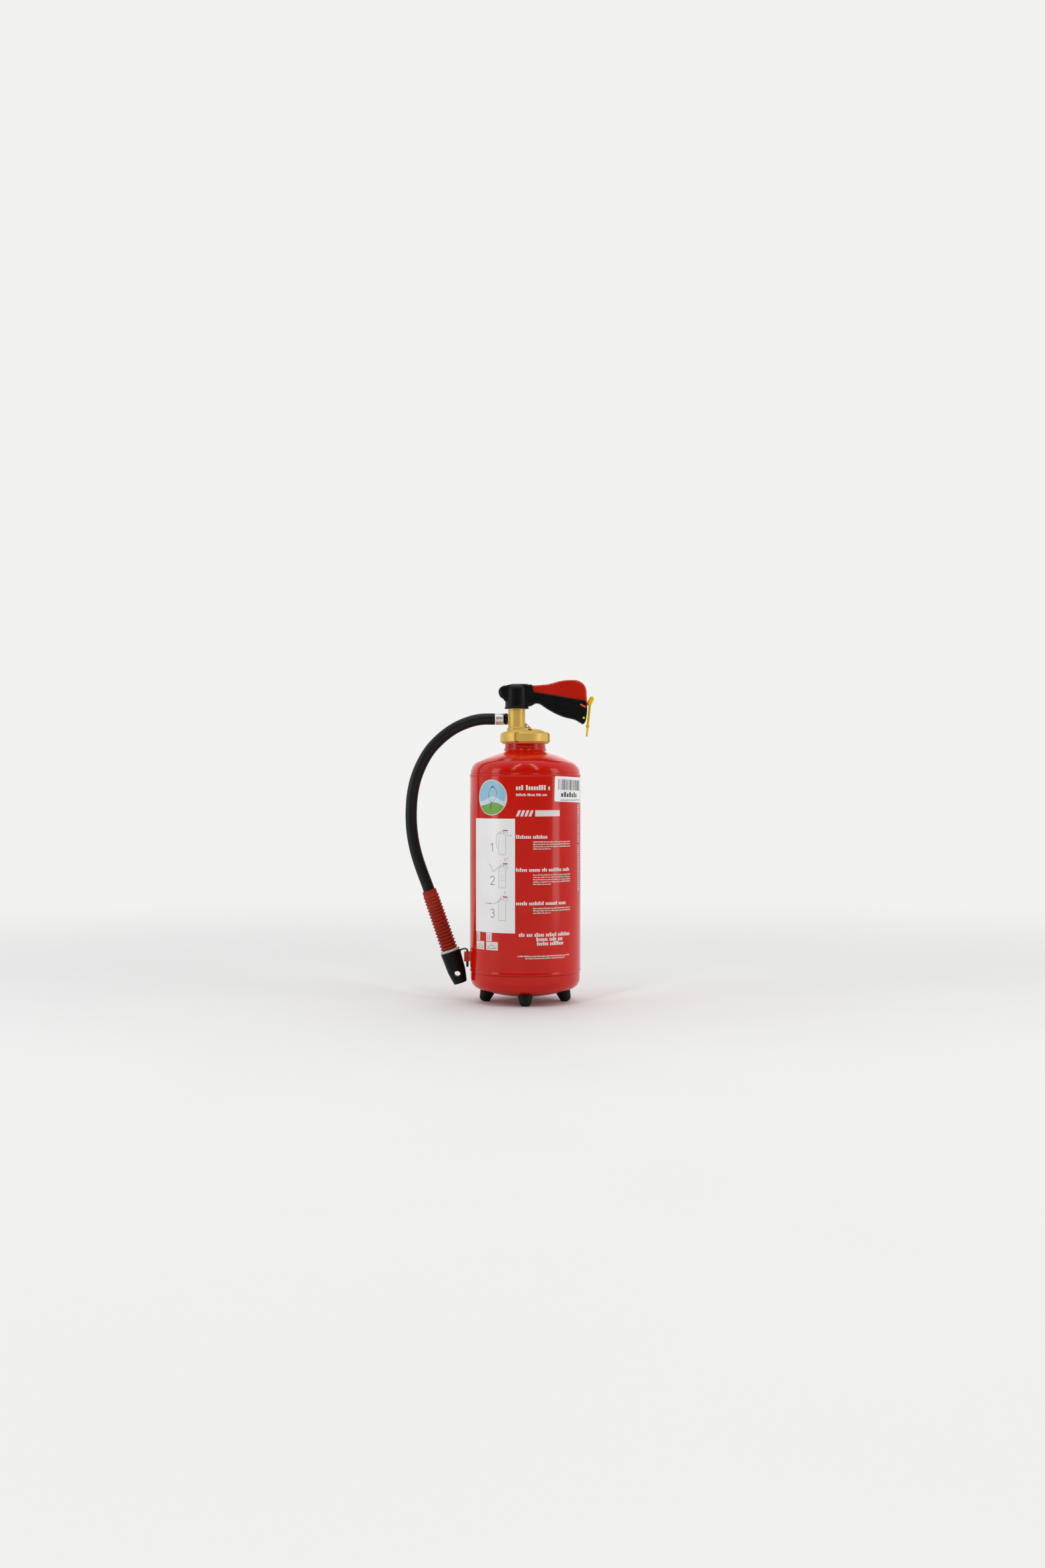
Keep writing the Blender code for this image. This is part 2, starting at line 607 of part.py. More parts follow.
def make_valve_body(kit):
    """The brass body: a flange under the nut, a spigot in the neck and an offset tower."""
    flange_low = COLLAR_TOP + 2 * JOINT_GAP + GASKET_T
    flange_top = NUT_TOP - NUT_LIP - JOINT_GAP
    spigot_r = NECK_BORE_R - 0.4
    dome = [(VALVE_BASE_R, flange_top), (VALVE_BASE_R, NUT_TOP + 0.4)]
    dome += [(VALVE_BASE_R * math.cos(math.radians(a)),
              NUT_TOP + 0.4 + (BASE_DOME_TOP - NUT_TOP - 0.4) * math.sin(math.radians(a)))
             for a in (30, 60, 80)]
    profile = [
        (0, SPIGOT_BOTTOM), (spigot_r, SPIGOT_BOTTOM), (spigot_r, flange_low),
        (FLANGE_R, flange_low), (FLANGE_R, flange_top),
    ] + dome + [(0, BASE_DOME_TOP)]
    valve = kit.add("valve_body", lathe(profile, FACETS_BODY), "brass")
    tower_low = flange_low + 1.0
    kit.modify(valve, "join_tower",
               lathe(rod_profile(TOWER_R, tower_low, TOWER_TOP), FACETS_LARGE, tower_frame()), "UNION")
    boss = frame_along((TOWER_X, 0, OUTLET_Z), (-1, 0, 0), 3.0)
    outlet = frame_along((TOWER_X, 0, OUTLET_Z), (-1, 0, 0), 8.0)
    kit.modify(valve, "join_boss",
               lathe(rod_profile(BOSS_R, 2.0, TOWER_R + 0.1), FACETS_MEDIUM, boss), "UNION")
    web = [(TOWER_X + TOWER_R - 4, BASE_DOME_TOP - 4), (WEB_REACH + 2, BASE_DOME_TOP - 4),
           (WEB_REACH, BASE_DOME_TOP + 0.4), (TOWER_X + TOWER_R - 0.5, WEB_TOP),
           (TOWER_X + TOWER_R - 4, WEB_TOP)]
    kit.modify(valve, "join_web", prism(web, -WEB_T / 2, WEB_T / 2), "UNION")
    hole = frame_along((TOWER_X + TOWER_R + 3.6, -10, BASE_DOME_TOP + 3.2), (0, 1, 0))
    kit.modify(valve, "cut_web_hole", lathe(rod_profile(WEB_HOLE_R, 0, 20), 8, hole), "DIFFERENCE")
    rod_bore = [
        (0, SPIGOT_BOTTOM - 5), (CARTRIDGE_NECK_R + JOINT_GAP, SPIGOT_BOTTOM - 5),
        (CARTRIDGE_NECK_R + JOINT_GAP, SPIGOT_BOTTOM + CARTRIDGE_NECK_H),
        (ROD_R + JOINT_GAP, SPIGOT_BOTTOM + CARTRIDGE_NECK_H),
        (ROD_R + JOINT_GAP, SPRING_POCKET_FLOOR - SEAL_POCKET_H),
        (SEAL_POCKET_R, SPRING_POCKET_FLOOR - SEAL_POCKET_H),
        (SEAL_POCKET_R, SPRING_POCKET_FLOOR), (SPRING_POCKET_R, SPRING_POCKET_FLOOR),
        (SPRING_POCKET_R, TOWER_TOP + 5), (0, TOWER_TOP + 5),
    ]
    kit.modify(valve, "cut_rod_bore", lathe(rod_bore, FACETS_MEDIUM, tower_frame()), "DIFFERENCE")
    bore = rod_profile(OUTLET_BORE_R + JOINT_GAP, 0, DRILL_DEPTH)
    kit.modify(valve, "cut_outlet", lathe(bore, FACETS_MEDIUM, outlet),
               "DIFFERENCE")
    dip = Matrix.Translation((DIP_X, 0, 0))
    top = SPIGOT_BOTTOM + DIP_SOCKET
    kit.modify(valve, "cut_dip_socket",
               lathe(rod_profile(DIP_R + JOINT_GAP, SPIGOT_BOTTOM - 5, top), FACETS_SMALL, dip), "DIFFERENCE")
    gas = Matrix.Translation((0, GAS_Y, 0))
    top = SPIGOT_BOTTOM + GAS_SOCKET
    kit.modify(valve, "cut_gas_socket",
               lathe(rod_profile(GAS_R + JOINT_GAP, SPIGOT_BOTTOM - 5, top), FACETS_SMALL, gas), "DIFFERENCE")
    relief = frame_along((TOWER_X, 0, OUTLET_Z), (0, 1, 0), 5.0)
    kit.modify(valve, "cut_relief", lathe(rod_profile(4.3, 8, 30), FACETS_SMALL, relief), "DIFFERENCE")


def make_relief_valve(kit):
    """The overpressure plug in the tower's rear."""
    frame = frame_along((TOWER_X, 0, OUTLET_Z), (0, 1, 0))
    profile = [(0, 8.4), (4.0, 8.4), (4.0, TOWER_R + 0.4), (6.2, TOWER_R + 0.4),
               (6.2, TOWER_R + 4.0), (5.2, TOWER_R + 5.2), (0, TOWER_R + 5.2)]
    kit.add("relief_valve", lathe(profile, FACETS_SMALL, frame), "brass")


def make_outlet(kit):
    """The nipple with its seal, and the ferrule that holds the hose on it."""
    frame = frame_along((0, 0, OUTLET_Z), (-1, 0, 0))
    seal_low = -TOWER_X + TOWER_R + 0.4
    seal = tube_profile(BOSS_R - 1.2, OUTLET_BORE_R + JOINT_GAP, seal_low, seal_low + 1.0)
    kit.add("outlet_seal", lathe(seal, FACETS_SMALL, frame), "black_rubber")
    start = seal_low + 1.0 + JOINT_GAP
    end = -NIPPLE_END - JOINT_GAP
    tail = -FERRULE_END - 0.2
    groove = start + (end - start) * 0.62
    bore = 4.0
    profile = [
        (OUTLET_BORE_R, -TOWER_X + 3.0), (OUTLET_BORE_R, start), (NIPPLE_COLLAR_R, start),
        (NIPPLE_COLLAR_R, groove), (NIPPLE_GROOVE_R, groove), (NIPPLE_GROOVE_R, groove + 1.2),
        (NIPPLE_COLLAR_R, groove + 1.2), (NIPPLE_COLLAR_R, end), (OUTLET_BORE_R, end),
        (OUTLET_BORE_R, tail), (bore, tail), (bore, -TOWER_X + 3.0),
    ]
    kit.add("outlet_nipple", lathe(profile, FACETS_MEDIUM, frame), "black_plastic")
    ring = [(FERRULE_R, -NIPPLE_END), (FERRULE_R, -FERRULE_END),
            (OUTLET_BORE_R + JOINT_GAP, -FERRULE_END), (OUTLET_BORE_R + JOINT_GAP, -NIPPLE_END)]
    kit.add("hose_ferrule", lathe(ring, FACETS_MEDIUM, frame), "aluminium")


# --- Hose, grip and nozzle --------------------------------------------------------------------

def make_hose(kit):
    """The hose as a curve with a point every two diameters, closed at its ends."""
    fine = [Vector((x, 0, z)) for x, z in smooth_curve(HOSE_POINTS, 12)]
    lengths = [0.0]
    for start, end in zip(fine, fine[1:]):
        lengths.append(lengths[-1] + (end - start).length)
    count = round(lengths[-1] / HOSE_STEP) + 1
    points = []
    for index in range(count):
        target = lengths[-1] * index / (count - 1)
        after = max(1, next((i for i, s in enumerate(lengths) if s >= target), len(fine) - 1))
        share = (target - lengths[after - 1]) / (lengths[after] - lengths[after - 1])
        points.append(fine[after - 1].lerp(fine[after], share))
    data = bpy.data.curves.new("hose", "CURVE")
    data.dimensions = "3D"
    data.bevel_depth = HOSE_R * SCALE
    data.bevel_resolution = 4
    data.use_fill_caps = True
    spline = data.splines.new("POLY")
    spline.points.add(count - 1)
    for knot, point in zip(spline.points, points):
        knot.co = (*(point * SCALE), 1.0)
    hose = bpy.data.objects.new("hose", data)
    hose.parent = kit.root
    hose.data.materials.append(kit.material("hose", "black_rubber"))
    bpy.context.scene.collection.objects.link(hose)


def slanted_frame(start, end):
    """A frame at one (x, z) point with its Z towards another, and the distance."""
    a, b = Vector((start[0], 0, start[1])), Vector((end[0], 0, end[1]))
    return frame_along(a, b - a), (b - a).length


def make_grip(kit):
    """The ribbed sleeve over the hose's end, and the white ring under it."""
    frame, length = slanted_frame(GRIP_TOP, GRIP_BOTTOM)
    bore = HOSE_R + 0.5
    outer = [(GRIP_ROOT_R - 0.5, 0.0), (GRIP_ROOT_R, 0.8), (GRIP_ROOT_R, GRIP_CUFF)]
    pitch = (length - GRIP_CUFF) / GRIP_RIBS
    for rib in range(GRIP_RIBS):
        tip = GRIP_RIB_TOP_R + (GRIP_RIB_BOTTOM_R - GRIP_RIB_TOP_R) * rib / (GRIP_RIBS - 1)
        low = GRIP_CUFF + pitch * rib
        outer += [(tip, low + pitch / 2), (GRIP_ROOT_R, low + pitch)]
    profile = outer + [(bore, length), (bore, 0.0)]
    kit.add("grip", lathe(profile, FACETS_SMALL, frame), "grip_rubber", "nozzle_pivot")
    low = length + JOINT_GAP
    ring = tube_profile(RING_R, bore, low, low + RING_T)
    kit.add("grip_ring", lathe(ring, FACETS_MEDIUM, frame), "white_plastic", "nozzle_pivot")
    return low + RING_T


def make_nozzle(kit, ring_end):
    """The nozzle: a tapered barrel with an air hole, a jet and the tongue it hangs by."""
    grip_frame, grip_length = slanted_frame(GRIP_TOP, GRIP_BOTTOM)
    top = grip_frame @ Vector((0, 0, ring_end + JOINT_GAP))
    frame, length = slanted_frame((top.x, top.z), NOZZLE_TIP)
    waist = length * NOZZLE_WAIST
    socket_r = HOSE_R + 0.5
    jet_low = length - NOZZLE_BORE_DEPTH
    socket_end = jet_low - JET_T - 3.0
    profile = [
        (NOZZLE_TOP_R - 0.6, 0.0), (NOZZLE_TOP_R, 0.8), (NOZZLE_WAIST_R, waist),
        (NOZZLE_TIP_R, length), (NOZZLE_BORE_R, length), (NOZZLE_BORE_R, jet_low - JET_T),
        (NOZZLE_BORE_R - 2.5, jet_low - JET_T), (NOZZLE_BORE_R - 2.5, socket_end),
        (socket_r, socket_end), (socket_r, 0.0),
    ]
    nozzle = kit.add("nozzle", lathe(profile, FACETS_MEDIUM, frame), "black_plastic", "nozzle_pivot")
    half = TONGUE_W / 2
    strap_low = STRAP_TOP - 2.4
    inside = top.x + NOZZLE_TOP_R * 0.86
    strap = [
        (inside, top.z - 6.0), (inside + 1.6, top.z + 3.0), (TONGUE_X - 4.5, STRAP_TOP - 0.8),
        (TONGUE_X - 1.0, STRAP_TOP), (TONGUE_X + TONGUE_T / 2, STRAP_TOP - 2.0),
        (TONGUE_X + TONGUE_T / 2, TONGUE_END), (TONGUE_X - TONGUE_T / 2, TONGUE_END),
        (TONGUE_X - TONGUE_T / 2, strap_low - 1.6), (TONGUE_X - 5.0, strap_low - 0.6),
        (inside + 3.4, top.z - 2.0), (inside + 1.0, top.z - 12.0),
    ]
    kit.modify(nozzle, "join_tongue", prism(strap, -half, half), "UNION", "nozzle_pivot")
    axis = (Vector((NOZZLE_TIP[0], 0, NOZZLE_TIP[1])) - top).normalized()
    centre = Vector((NOZZLE_TIP[0], 0, NOZZLE_TIP[1])) - axis * AIR_HOLE_FROM_TIP
    hole = frame_along(centre + Vector((0, -30, 0)), (0, 1, 0))
    drill = lathe(rod_profile(AIR_HOLE_R, 0, 60), FACETS_MEDIUM, hole)
    kit.modify(nozzle, "cut_air_hole", drill, "DIFFERENCE", "nozzle_pivot")
    jet = tube_profile(NOZZLE_BORE_R - 0.3, JET_R, jet_low - JET_T + 0.3, jet_low)
    kit.add("nozzle_jet", lathe(jet, FACETS_SMALL, frame), "brass", "nozzle_pivot")


# --- Head: cover, handle and lever ------------------------------------------------------------

def make_cover(kit):
    """The moulded cap: a round dome with a nose over the pivot and a hood over the lever."""
    dome = arc((0, COVER_DOME_Z), COVER_R, 0, 90, 5)
    outside = [(0, COVER_SKIRT), (COVER_FLANGE_R, COVER_SKIRT),
               (COVER_FLANGE_R, COVER_SKIRT + COVER_FLANGE_H),
               (COVER_R, COVER_SKIRT + COVER_FLANGE_H + 1.0)] + dome[:-1] + [(0, dome[-1][1])]
    cover = kit.add("head_cover", lathe(outside, FACETS_LARGE, tower_frame()), "black_plastic")
    nose = arc((PIVOT_X, PIVOT_Z), NOSE_R, 225, 115, 6)
    fillet = arc((HOOD_END + 0.6, COVER_SKIRT), 10.0, 175, 100, 4)
    block = [(-33.0, COVER_SKIRT + 6)] + [(-35.2, 516.0)] + nose + [
        (-26.5, 544.9), (TOWER_X, HOOD_TOP + 0.8), (3.3, HOOD_TOP + 0.3), (HOOD_END, HOOD_TOP - 0.3),
        (HOOD_END, 511.6),
    ] + [(x, z + 1.2) for x, z in fillet[::-1]] + [(0.0, COVER_SKIRT + 1.0)]
    kit.modify(cover, "join_hood", prism(block, -HOOD_HALF, HOOD_HALF, 1.2, 1), "UNION")
    inner_r = COVER_R - COVER_WALL
    cavity_dome = arc((0, COVER_DOME_Z), inner_r, 0, 90, 4)
    bore = [(0, COVER_SKIRT - 5), (TOWER_R + JOINT_GAP, COVER_SKIRT - 5),
            (TOWER_R + JOINT_GAP, TOWER_TOP - 1.0), (inner_r, TOWER_TOP - 1.0)]
    bore += cavity_dome[:-1] + [(0, cavity_dome[-1][1])]
    kit.modify(cover, "cut_cavity", lathe(bore, FACETS_MEDIUM, tower_frame()), "DIFFERENCE")
    room = HOOD_HALF - COVER_WALL
    nose_room = arc((PIVOT_X, PIVOT_Z), NOSE_R - COVER_WALL, 225, 115, 5)
    tunnel = [(-33.5, 516.6)] + nose_room + [
        (-26.0, 543.2), (TOWER_X, HOOD_TOP - 0.8), (HOOD_END + 5, HOOD_TOP - 1.7),
        (HOOD_END + 5, TOWER_TOP), (-32.0, TOWER_TOP),
    ]
    kit.modify(cover, "cut_tunnel", prism(tunnel, -room, room), "DIFFERENCE")


def handle_outline():
    """The handle's side view, clockwise from its top left corner."""
    top = [HANDLE_TOP_LEFT, HANDLE_TOP_RIGHT, (104.9, 514.6)]
    return top + list(HANDLE_REAR) + list(HANDLE_UNDER)


def make_handle(kit):
    """The handle's channel: two cheeks and a floor, open above and behind for the lever."""
    handle = kit.add("handle_shell", prism(handle_outline(), -HANDLE_HALF, HANDLE_HALF, 1.6, 2),
                     "black_plastic")
    lifted = [(x, z + HANDLE_WALL * (1.0 if x < 22 else 1.15)) for x, z in HANDLE_UNDER]
    room = HANDLE_HALF - HANDLE_WALL
    cavity = [(HANDLE_TOP_LEFT[0] - 6, 540.0), (120.0, 540.0), (120.0, 483.4), (104.0, 481.0)]
    cavity += lifted[1:] + [(HANDLE_TOP_LEFT[0] - 6, lifted[-1][1])]
    kit.modify(handle, "cut_handle_room", prism(cavity, -room, room), "DIFFERENCE")
    rivet = frame_along((SEAL_RIVET[0], -30, SEAL_RIVET[1]), (0, 1, 0))
    drill = rod_profile(RIVET_R + PIN_CLEARANCE * 2, 0, 60)
    kit.modify(handle, "cut_rivet_hole", lathe(drill, FACETS_SMALL, rivet), "DIFFERENCE")
    hole = Matrix.Translation((SCREW_X, 0, 0))
    kit.modify(handle, "cut_screw_hole", lathe(rod_profile(SCREW_R + 0.3, 500, 520), FACETS_SMALL, hole),
               "DIFFERENCE")
    half = HANDLE_HALF - INLAY_T
    for side, name in ((-1, "front"), (1, "back")):
        recess = turned_outline(rounded_slot(INLAY_LENGTH + 0.4, INLAY_H + 0.4), INLAY, INLAY_SLOPE)
        low, high = sorted((side * (half - 0.3), side * (HANDLE_HALF + 2)))
        kit.modify(handle, f"cut_inlay_{name}", prism(recess, low, high), "DIFFERENCE")
        pill = turned_outline(rounded_slot(INLAY_LENGTH, INLAY_H), INLAY, INLAY_SLOPE)
        low, high = sorted((side * half, side * (HANDLE_HALF + 0.1)))
        kit.add(f"indicator_{name}", prism(pill, low, high), "orange_plastic")


def make_rivet(kit):
    """The seal rivet across the handle's rear, with a shallow head on each cheek."""
    frame = frame_along((SEAL_RIVET[0], 0, SEAL_RIVET[1]), (0, 1, 0))
    reach = HANDLE_HALF + 0.3
    profile = [(0, -reach - 0.5), (RIVET_R * 0.8, -reach - 0.4), (RIVET_R, -reach),
               (RIVET_R, reach), (RIVET_R * 0.8, reach + 0.4), (0, reach + 0.5)]
    kit.add("seal_rivet", lathe(profile, FACETS_SMALL, frame), "yellow_plastic")


def lever_outline():
    """The lever's side view, from its root along the top and down to the skirt's end."""
    slope = (HANDLE_TOP_RIGHT[1] - HANDLE_TOP_LEFT[1]) / (HANDLE_TOP_RIGHT[0] - HANDLE_TOP_LEFT[0])
    root_low = HANDLE_TOP_LEFT[1] + slope * (LEVER_START - HANDLE_TOP_LEFT[0]) - LEVER_SKIRT
    return list(LEVER_TOP) + [LEVER_REAR, (LEVER_START, root_low)]


def make_lever(kit):
    """The red lever: a shell that is open underneath, with a slot for the safety clip."""
    outline = lever_outline()
    lever = kit.add("lever_shell", prism(outline, -LEVER_HALF, LEVER_HALF, LEVER_ROUND, 3),
                    "red_plastic", "lever_pivot")
    centre = Vector((60.0, 520.0))
    inner = []
    for x, z in LEVER_TOP:
        pull = (centre - Vector((x, z))).normalized() * LEVER_WALL
        inner.append((x + (pull.x if x > 88 else 0.0), z + (pull.y if x > 88 else -LEVER_WALL)))
    inner[0] = (LEVER_START - 3, inner[0][1])
    cavity = inner + [(LEVER_REAR[0] - LEVER_WALL, 500.0), (LEVER_START - 3, 500.0)]
    room = LEVER_HALF - LEVER_WALL
    kit.modify(lever, "cut_lever_room", prism(cavity, -room, room), "DIFFERENCE", "lever_pivot")
    half = TONGUE_SLOT_W / 2
    slot = box((98.0, -half, 495.0), (115.0, half, 533.0))
    kit.modify(lever, "cut_safety_slot", slot, "DIFFERENCE", "lever_pivot")


def make_lever_arm(kit):
    """The steel arm from the pivot into the lever."""
    slope = math.degrees(math.atan2(ARM_END[1] - PIVOT_Z, ARM_END[0] - PIVOT_X))
    outline = arc((PIVOT_X, PIVOT_Z), ARM_HUB_R, 90 + slope, 270 + slope, 10)
    outline += arc(ARM_END, ARM_END_R, -90 + slope, 90 + slope, 6)
    arm = kit.add("lever_arm", prism(outline, -ARM_HALF, ARM_HALF), "steel", "lever_pivot")
    bore = frame_along((PIVOT_X, -20, PIVOT_Z), (0, 1, 0))
    kit.modify(arm, "cut_arm_bore", lathe(rod_profile(PIN_R + PIN_CLEARANCE, 0, 40), FACETS_LARGE, bore),
               "DIFFERENCE", "lever_pivot")
    frame = frame_along((PIVOT_X, 0, PIVOT_Z), (0, 1, 0))
    reach = HOOD_HALF - COVER_WALL - JOINT_GAP
    kit.add("pivot_pin", lathe(rod_profile(PIN_R, -reach, reach), FACETS_LARGE, frame), "steel")


def make_bracket(kit):
    """The steel bracket: a base on the tower, ears for the pivot and a strip under the handle."""
    low = TOWER_TOP + JOINT_GAP
    top = low + BRACKET_T
    floor = HANDLE_UNDER[-1][1] + HANDLE_WALL + 0.4
    ear_r = 5.2
    ear = arc((PIVOT_X, PIVOT_Z), ear_r, 200, 20, 8)
    outline = [(-30.5, low)] + ear + [(-25.0, top), (BRACKET_END, top), (BRACKET_END, max(low, floor))]
    bracket = kit.add("handle_bracket", prism(outline, -BRACKET_HALF, BRACKET_HALF), "steel")
    room = ARM_HALF + EAR_GAP
    kit.modify(bracket, "cut_bracket_room", box((-60, -room, top), (-24.8, room, 560)), "DIFFERENCE")
    bore = frame_along((PIVOT_X, -20, PIVOT_Z), (0, 1, 0))
    drill = rod_profile(PIN_R + PIN_CLEARANCE, 0, DRILL_DEPTH)
    kit.modify(bracket, "cut_ear_bores", lathe(drill, FACETS_LARGE, bore), "DIFFERENCE")
    drill = rod_profile(SPRING_POCKET_R, low - 5, top + 5)
    kit.modify(bracket, "cut_rod_hole", lathe(drill, FACETS_MEDIUM, tower_frame()), "DIFFERENCE")
    hole = Matrix.Translation((SCREW_X, 0, 0))
    drill = rod_profile(SCREW_R + JOINT_GAP, low - 5, top + 5)
    kit.modify(bracket, "cut_bracket_screw", lathe(drill, FACETS_SMALL, hole), "DIFFERENCE")
    head = top + 0.3
    bottom = HANDLE_UNDER[-1][1] + 0.6
    screw = [(0, bottom), (SCREW_R, bottom), (SCREW_R, head), (SCREW_HEAD_R, head),
             (SCREW_HEAD_R - 0.4, head + 1.0), (0, head + 1.0)]
    kit.add("handle_screw", lathe(screw, FACETS_SMALL, hole), "steel")


def make_safety_clip(kit):
    """The yellow clip: a bit under the lever, a knob to pull and a strap that hangs from it."""
    knob_outline = turned_outline(rounded_slot(KNOB_LENGTH, KNOB_WIDTH), KNOB_CENTRE, 90 - KNOB_TILT)
    clip = kit.add("safety_clip", prism(knob_outline, -4.2, 4.2, 1.6, 2), "yellow_plastic",
                   "safety_pivot")
    (x0, z0), (x1, z1) = SAFETY_BIT
    bit = box((x0, -SAFETY_BIT_HALF, z0), (x1, SAFETY_BIT_HALF, z1))
    kit.modify(clip, "join_bit", bit, "UNION", "safety_pivot")
    strap = prism(STRAP_OUTLINE, -STRAP_T / 2, STRAP_T / 2)
    kit.modify(clip, "join_strap", strap, "UNION", "safety_pivot")


# --- Valve train and inner tubes --------------------------------------------------------------

def arm_underside(x):
    """The height of the lever arm's lower side above a place on X."""
    share = (x - PIVOT_X) / (ARM_END[0] - PIVOT_X)
    middle = PIVOT_Z + (ARM_END[1] - PIVOT_Z) * share
    return middle - (ARM_HUB_R + (ARM_END_R - ARM_HUB_R) * share)


def make_push_rod(kit):
    """The rod that the lever presses, with its piercing tip, and the spring that returns it."""
    head_top = arm_underside(TOWER_X - ROD_HEAD_R) - JOINT_GAP
    collar_top = head_top - 4.0
    tip_low = SPIGOT_BOTTOM + CARTRIDGE_NECK_H + 1.0
    profile = [
        (0, tip_low - ROD_TIP_LENGTH), (ROD_TIP_R, tip_low - ROD_TIP_LENGTH + 1.5),
        (ROD_TIP_R, tip_low), (ROD_R, tip_low + 1.0), (ROD_R, collar_top - 1.6),
        (ROD_COLLAR_R, collar_top - 1.6), (ROD_COLLAR_R, collar_top), (ROD_HEAD_R, collar_top),
        (ROD_HEAD_R, head_top), (0, head_top),
    ]
    kit.add("push_rod", lathe(profile, FACETS_SMALL, tower_frame()), "steel", "rod_pivot")
    low = SPRING_POCKET_FLOOR - SEAL_POCKET_H + JOINT_GAP
    seal = tube_profile(SEAL_POCKET_R - 0.3, ROD_R + 0.2, low, SPRING_POCKET_FLOOR - JOINT_GAP)
    kit.add("rod_seal", lathe(seal, FACETS_SMALL, tower_frame()), "black_rubber")
    make_spring(kit, SPRING_POCKET_FLOOR + JOINT_GAP, collar_top - 1.6 - JOINT_GAP)


def make_spring(kit, low, high):
    """The return spring, a helix around the rod."""
    radius = (ROD_R + SPRING_POCKET_R) / 2 + 0.2
    steps = 8 * SPRING_TURNS
    rise = high - low - 2 * SPRING_WIRE_R
    data = bpy.data.curves.new("rod_spring", "CURVE")
    data.dimensions = "3D"
    data.bevel_depth = SPRING_WIRE_R * SCALE
    data.bevel_resolution = 1
    data.use_fill_caps = True
    spline = data.splines.new("POLY")
    spline.points.add(steps)
    for index, knot in enumerate(spline.points):
        turn = TAU * SPRING_TURNS * index / steps
        place = Vector((TOWER_X + radius * math.cos(turn), radius * math.sin(turn),
                        kit.rise + low + SPRING_WIRE_R + rise * index / steps))
        knot.co = (*(place * SCALE), 1.0)
    spring = bpy.data.objects.new("rod_spring", data)
    spring.parent = kit.root
    spring.data.materials.append(kit.material("rod_spring", "steel"))
    bpy.context.scene.collection.objects.link(spring)


def make_cartridge(kit):
    """The gas cartridge under the valve, thin walled, with the disc that the rod pierces."""
    top = SPIGOT_BOTTOM - JOINT_GAP - 1.5
    low = top - CARTRIDGE_LENGTH
    inner = CARTRIDGE_R - CARTRIDGE_WALL
    rod_end = SPIGOT_BOTTOM + CARTRIDGE_NECK_H + 1.0 - ROD_TIP_LENGTH
    seal_top = rod_end - ROD_TRAVEL - JOINT_GAP
    neck_top = seal_top - CARTRIDGE_SEAL_T - JOINT_GAP
    profile = [(0, low)] + arc((CARTRIDGE_R - 6, low + 6), 6, 270, 360, 3)
    profile += arc((CARTRIDGE_R - 7, top - 7), 7, 0, 80, 4)
    profile += [(CARTRIDGE_NECK_R, top), (CARTRIDGE_NECK_R, neck_top), (2.0, neck_top), (2.0, top - 4)]
    profile += [(inner, top - 9), (inner, low + 6), (0, low + CARTRIDGE_WALL)]
    kit.add("gas_cartridge", lathe(profile, FACETS_SMALL, tower_frame()), "steel")
    seal = rod_profile(CARTRIDGE_NECK_R - 0.5, neck_top + JOINT_GAP, seal_top)
    kit.add("cartridge_seal", lathe(seal, FACETS_SMALL, tower_frame()), "brass")


def make_tubes(kit):
    """The dip tube with its strainer, and the short tube that lets the gas in."""
    dip = Matrix.Translation((DIP_X, 0, 0))
    top = SPIGOT_BOTTOM + DIP_SOCKET - 1.0
    bottom = DIP_BOTTOM - kit.rise
    low = bottom + 12.0
    kit.add("dip_tube", lathe(tube_profile(DIP_R, DIP_R - TUBE_WALL, low, top), FACETS_SMALL, dip),
            "white_plastic")
    strainer_r = DIP_R + 2.0
    strainer = [(0, bottom), (strainer_r, bottom), (strainer_r, low + 10),
                (DIP_R + JOINT_GAP, low + 10), (DIP_R + JOINT_GAP, low - JOINT_GAP),
                (0, low - JOINT_GAP)]
    kit.add("dip_strainer", lathe(strainer, FACETS_SMALL, dip), "black_plastic")
    gas = Matrix.Translation((0, GAS_Y, 0))
    top = SPIGOT_BOTTOM + GAS_SOCKET - 1.0
    kit.add("gas_tube", lathe(tube_profile(GAS_R, GAS_R - TUBE_WALL, GAS_BOTTOM, top), FACETS_SMALL, gas),
            "white_plastic")


# --- Labels -----------------------------------------------------------------------------------

def wrap(outline, thickness=LABEL_T):
    """A skin on the body from an (angle, z) grid of columns: each has an angle, a low and a high."""
    inner_r = BODY_R + JOINT_GAP - 0.05
    mesh = bmesh.new()
    rows = []
    for angle, low, high in outline:
        t = math.radians(angle)
        out = Vector((math.sin(t), -math.cos(t), 0))
        corners = [(inner_r, low), (inner_r + thickness, low), (inner_r + thickness, high),
                   (inner_r, high)]
        rows.append([mesh.verts.new(out * r + Vector((0, 0, z))) for r, z in corners])
    mesh.faces.new(rows[0])
    mesh.faces.new(rows[-1][::-1])
    for a, b in zip(rows, rows[1:]):
        for i in range(4):
            j = (i + 1) % 4
            mesh.faces.new((a[i], a[j], b[j], b[i]))
    bmesh.ops.recalc_face_normals(mesh, faces=mesh.faces)
    return mesh


def make_labels(kit):
    """The instruction panel, the round sticker and the inventory tag."""
    def panel(angles, heights, steps):
        span = [angles[0] + (angles[1] - angles[0]) * i / steps for i in range(steps + 1)]
        return [(a, heights[0], heights[1]) for a in span]
    kit.add("instruction_label", wrap(panel(PANEL_ANGLES, PANEL_Z, 12)), "label_film")
    kit.add("inventory_sticker", wrap(panel(TAG_ANGLES, TAG_Z, 12)), "label_film")
    disc = []
    steps = 20
    for i in range(steps + 1):
        t = math.pi * (0.04 + 0.92 * i / steps)
        angle = STICKER_ANGLE - math.degrees(STICKER_R * math.cos(t) / BODY_R)
        half = STICKER_R * math.sin(t)
        disc.append((angle, STICKER_Z - half, STICKER_Z + half))
    kit.add("round_sticker", wrap(disc), "label_film")


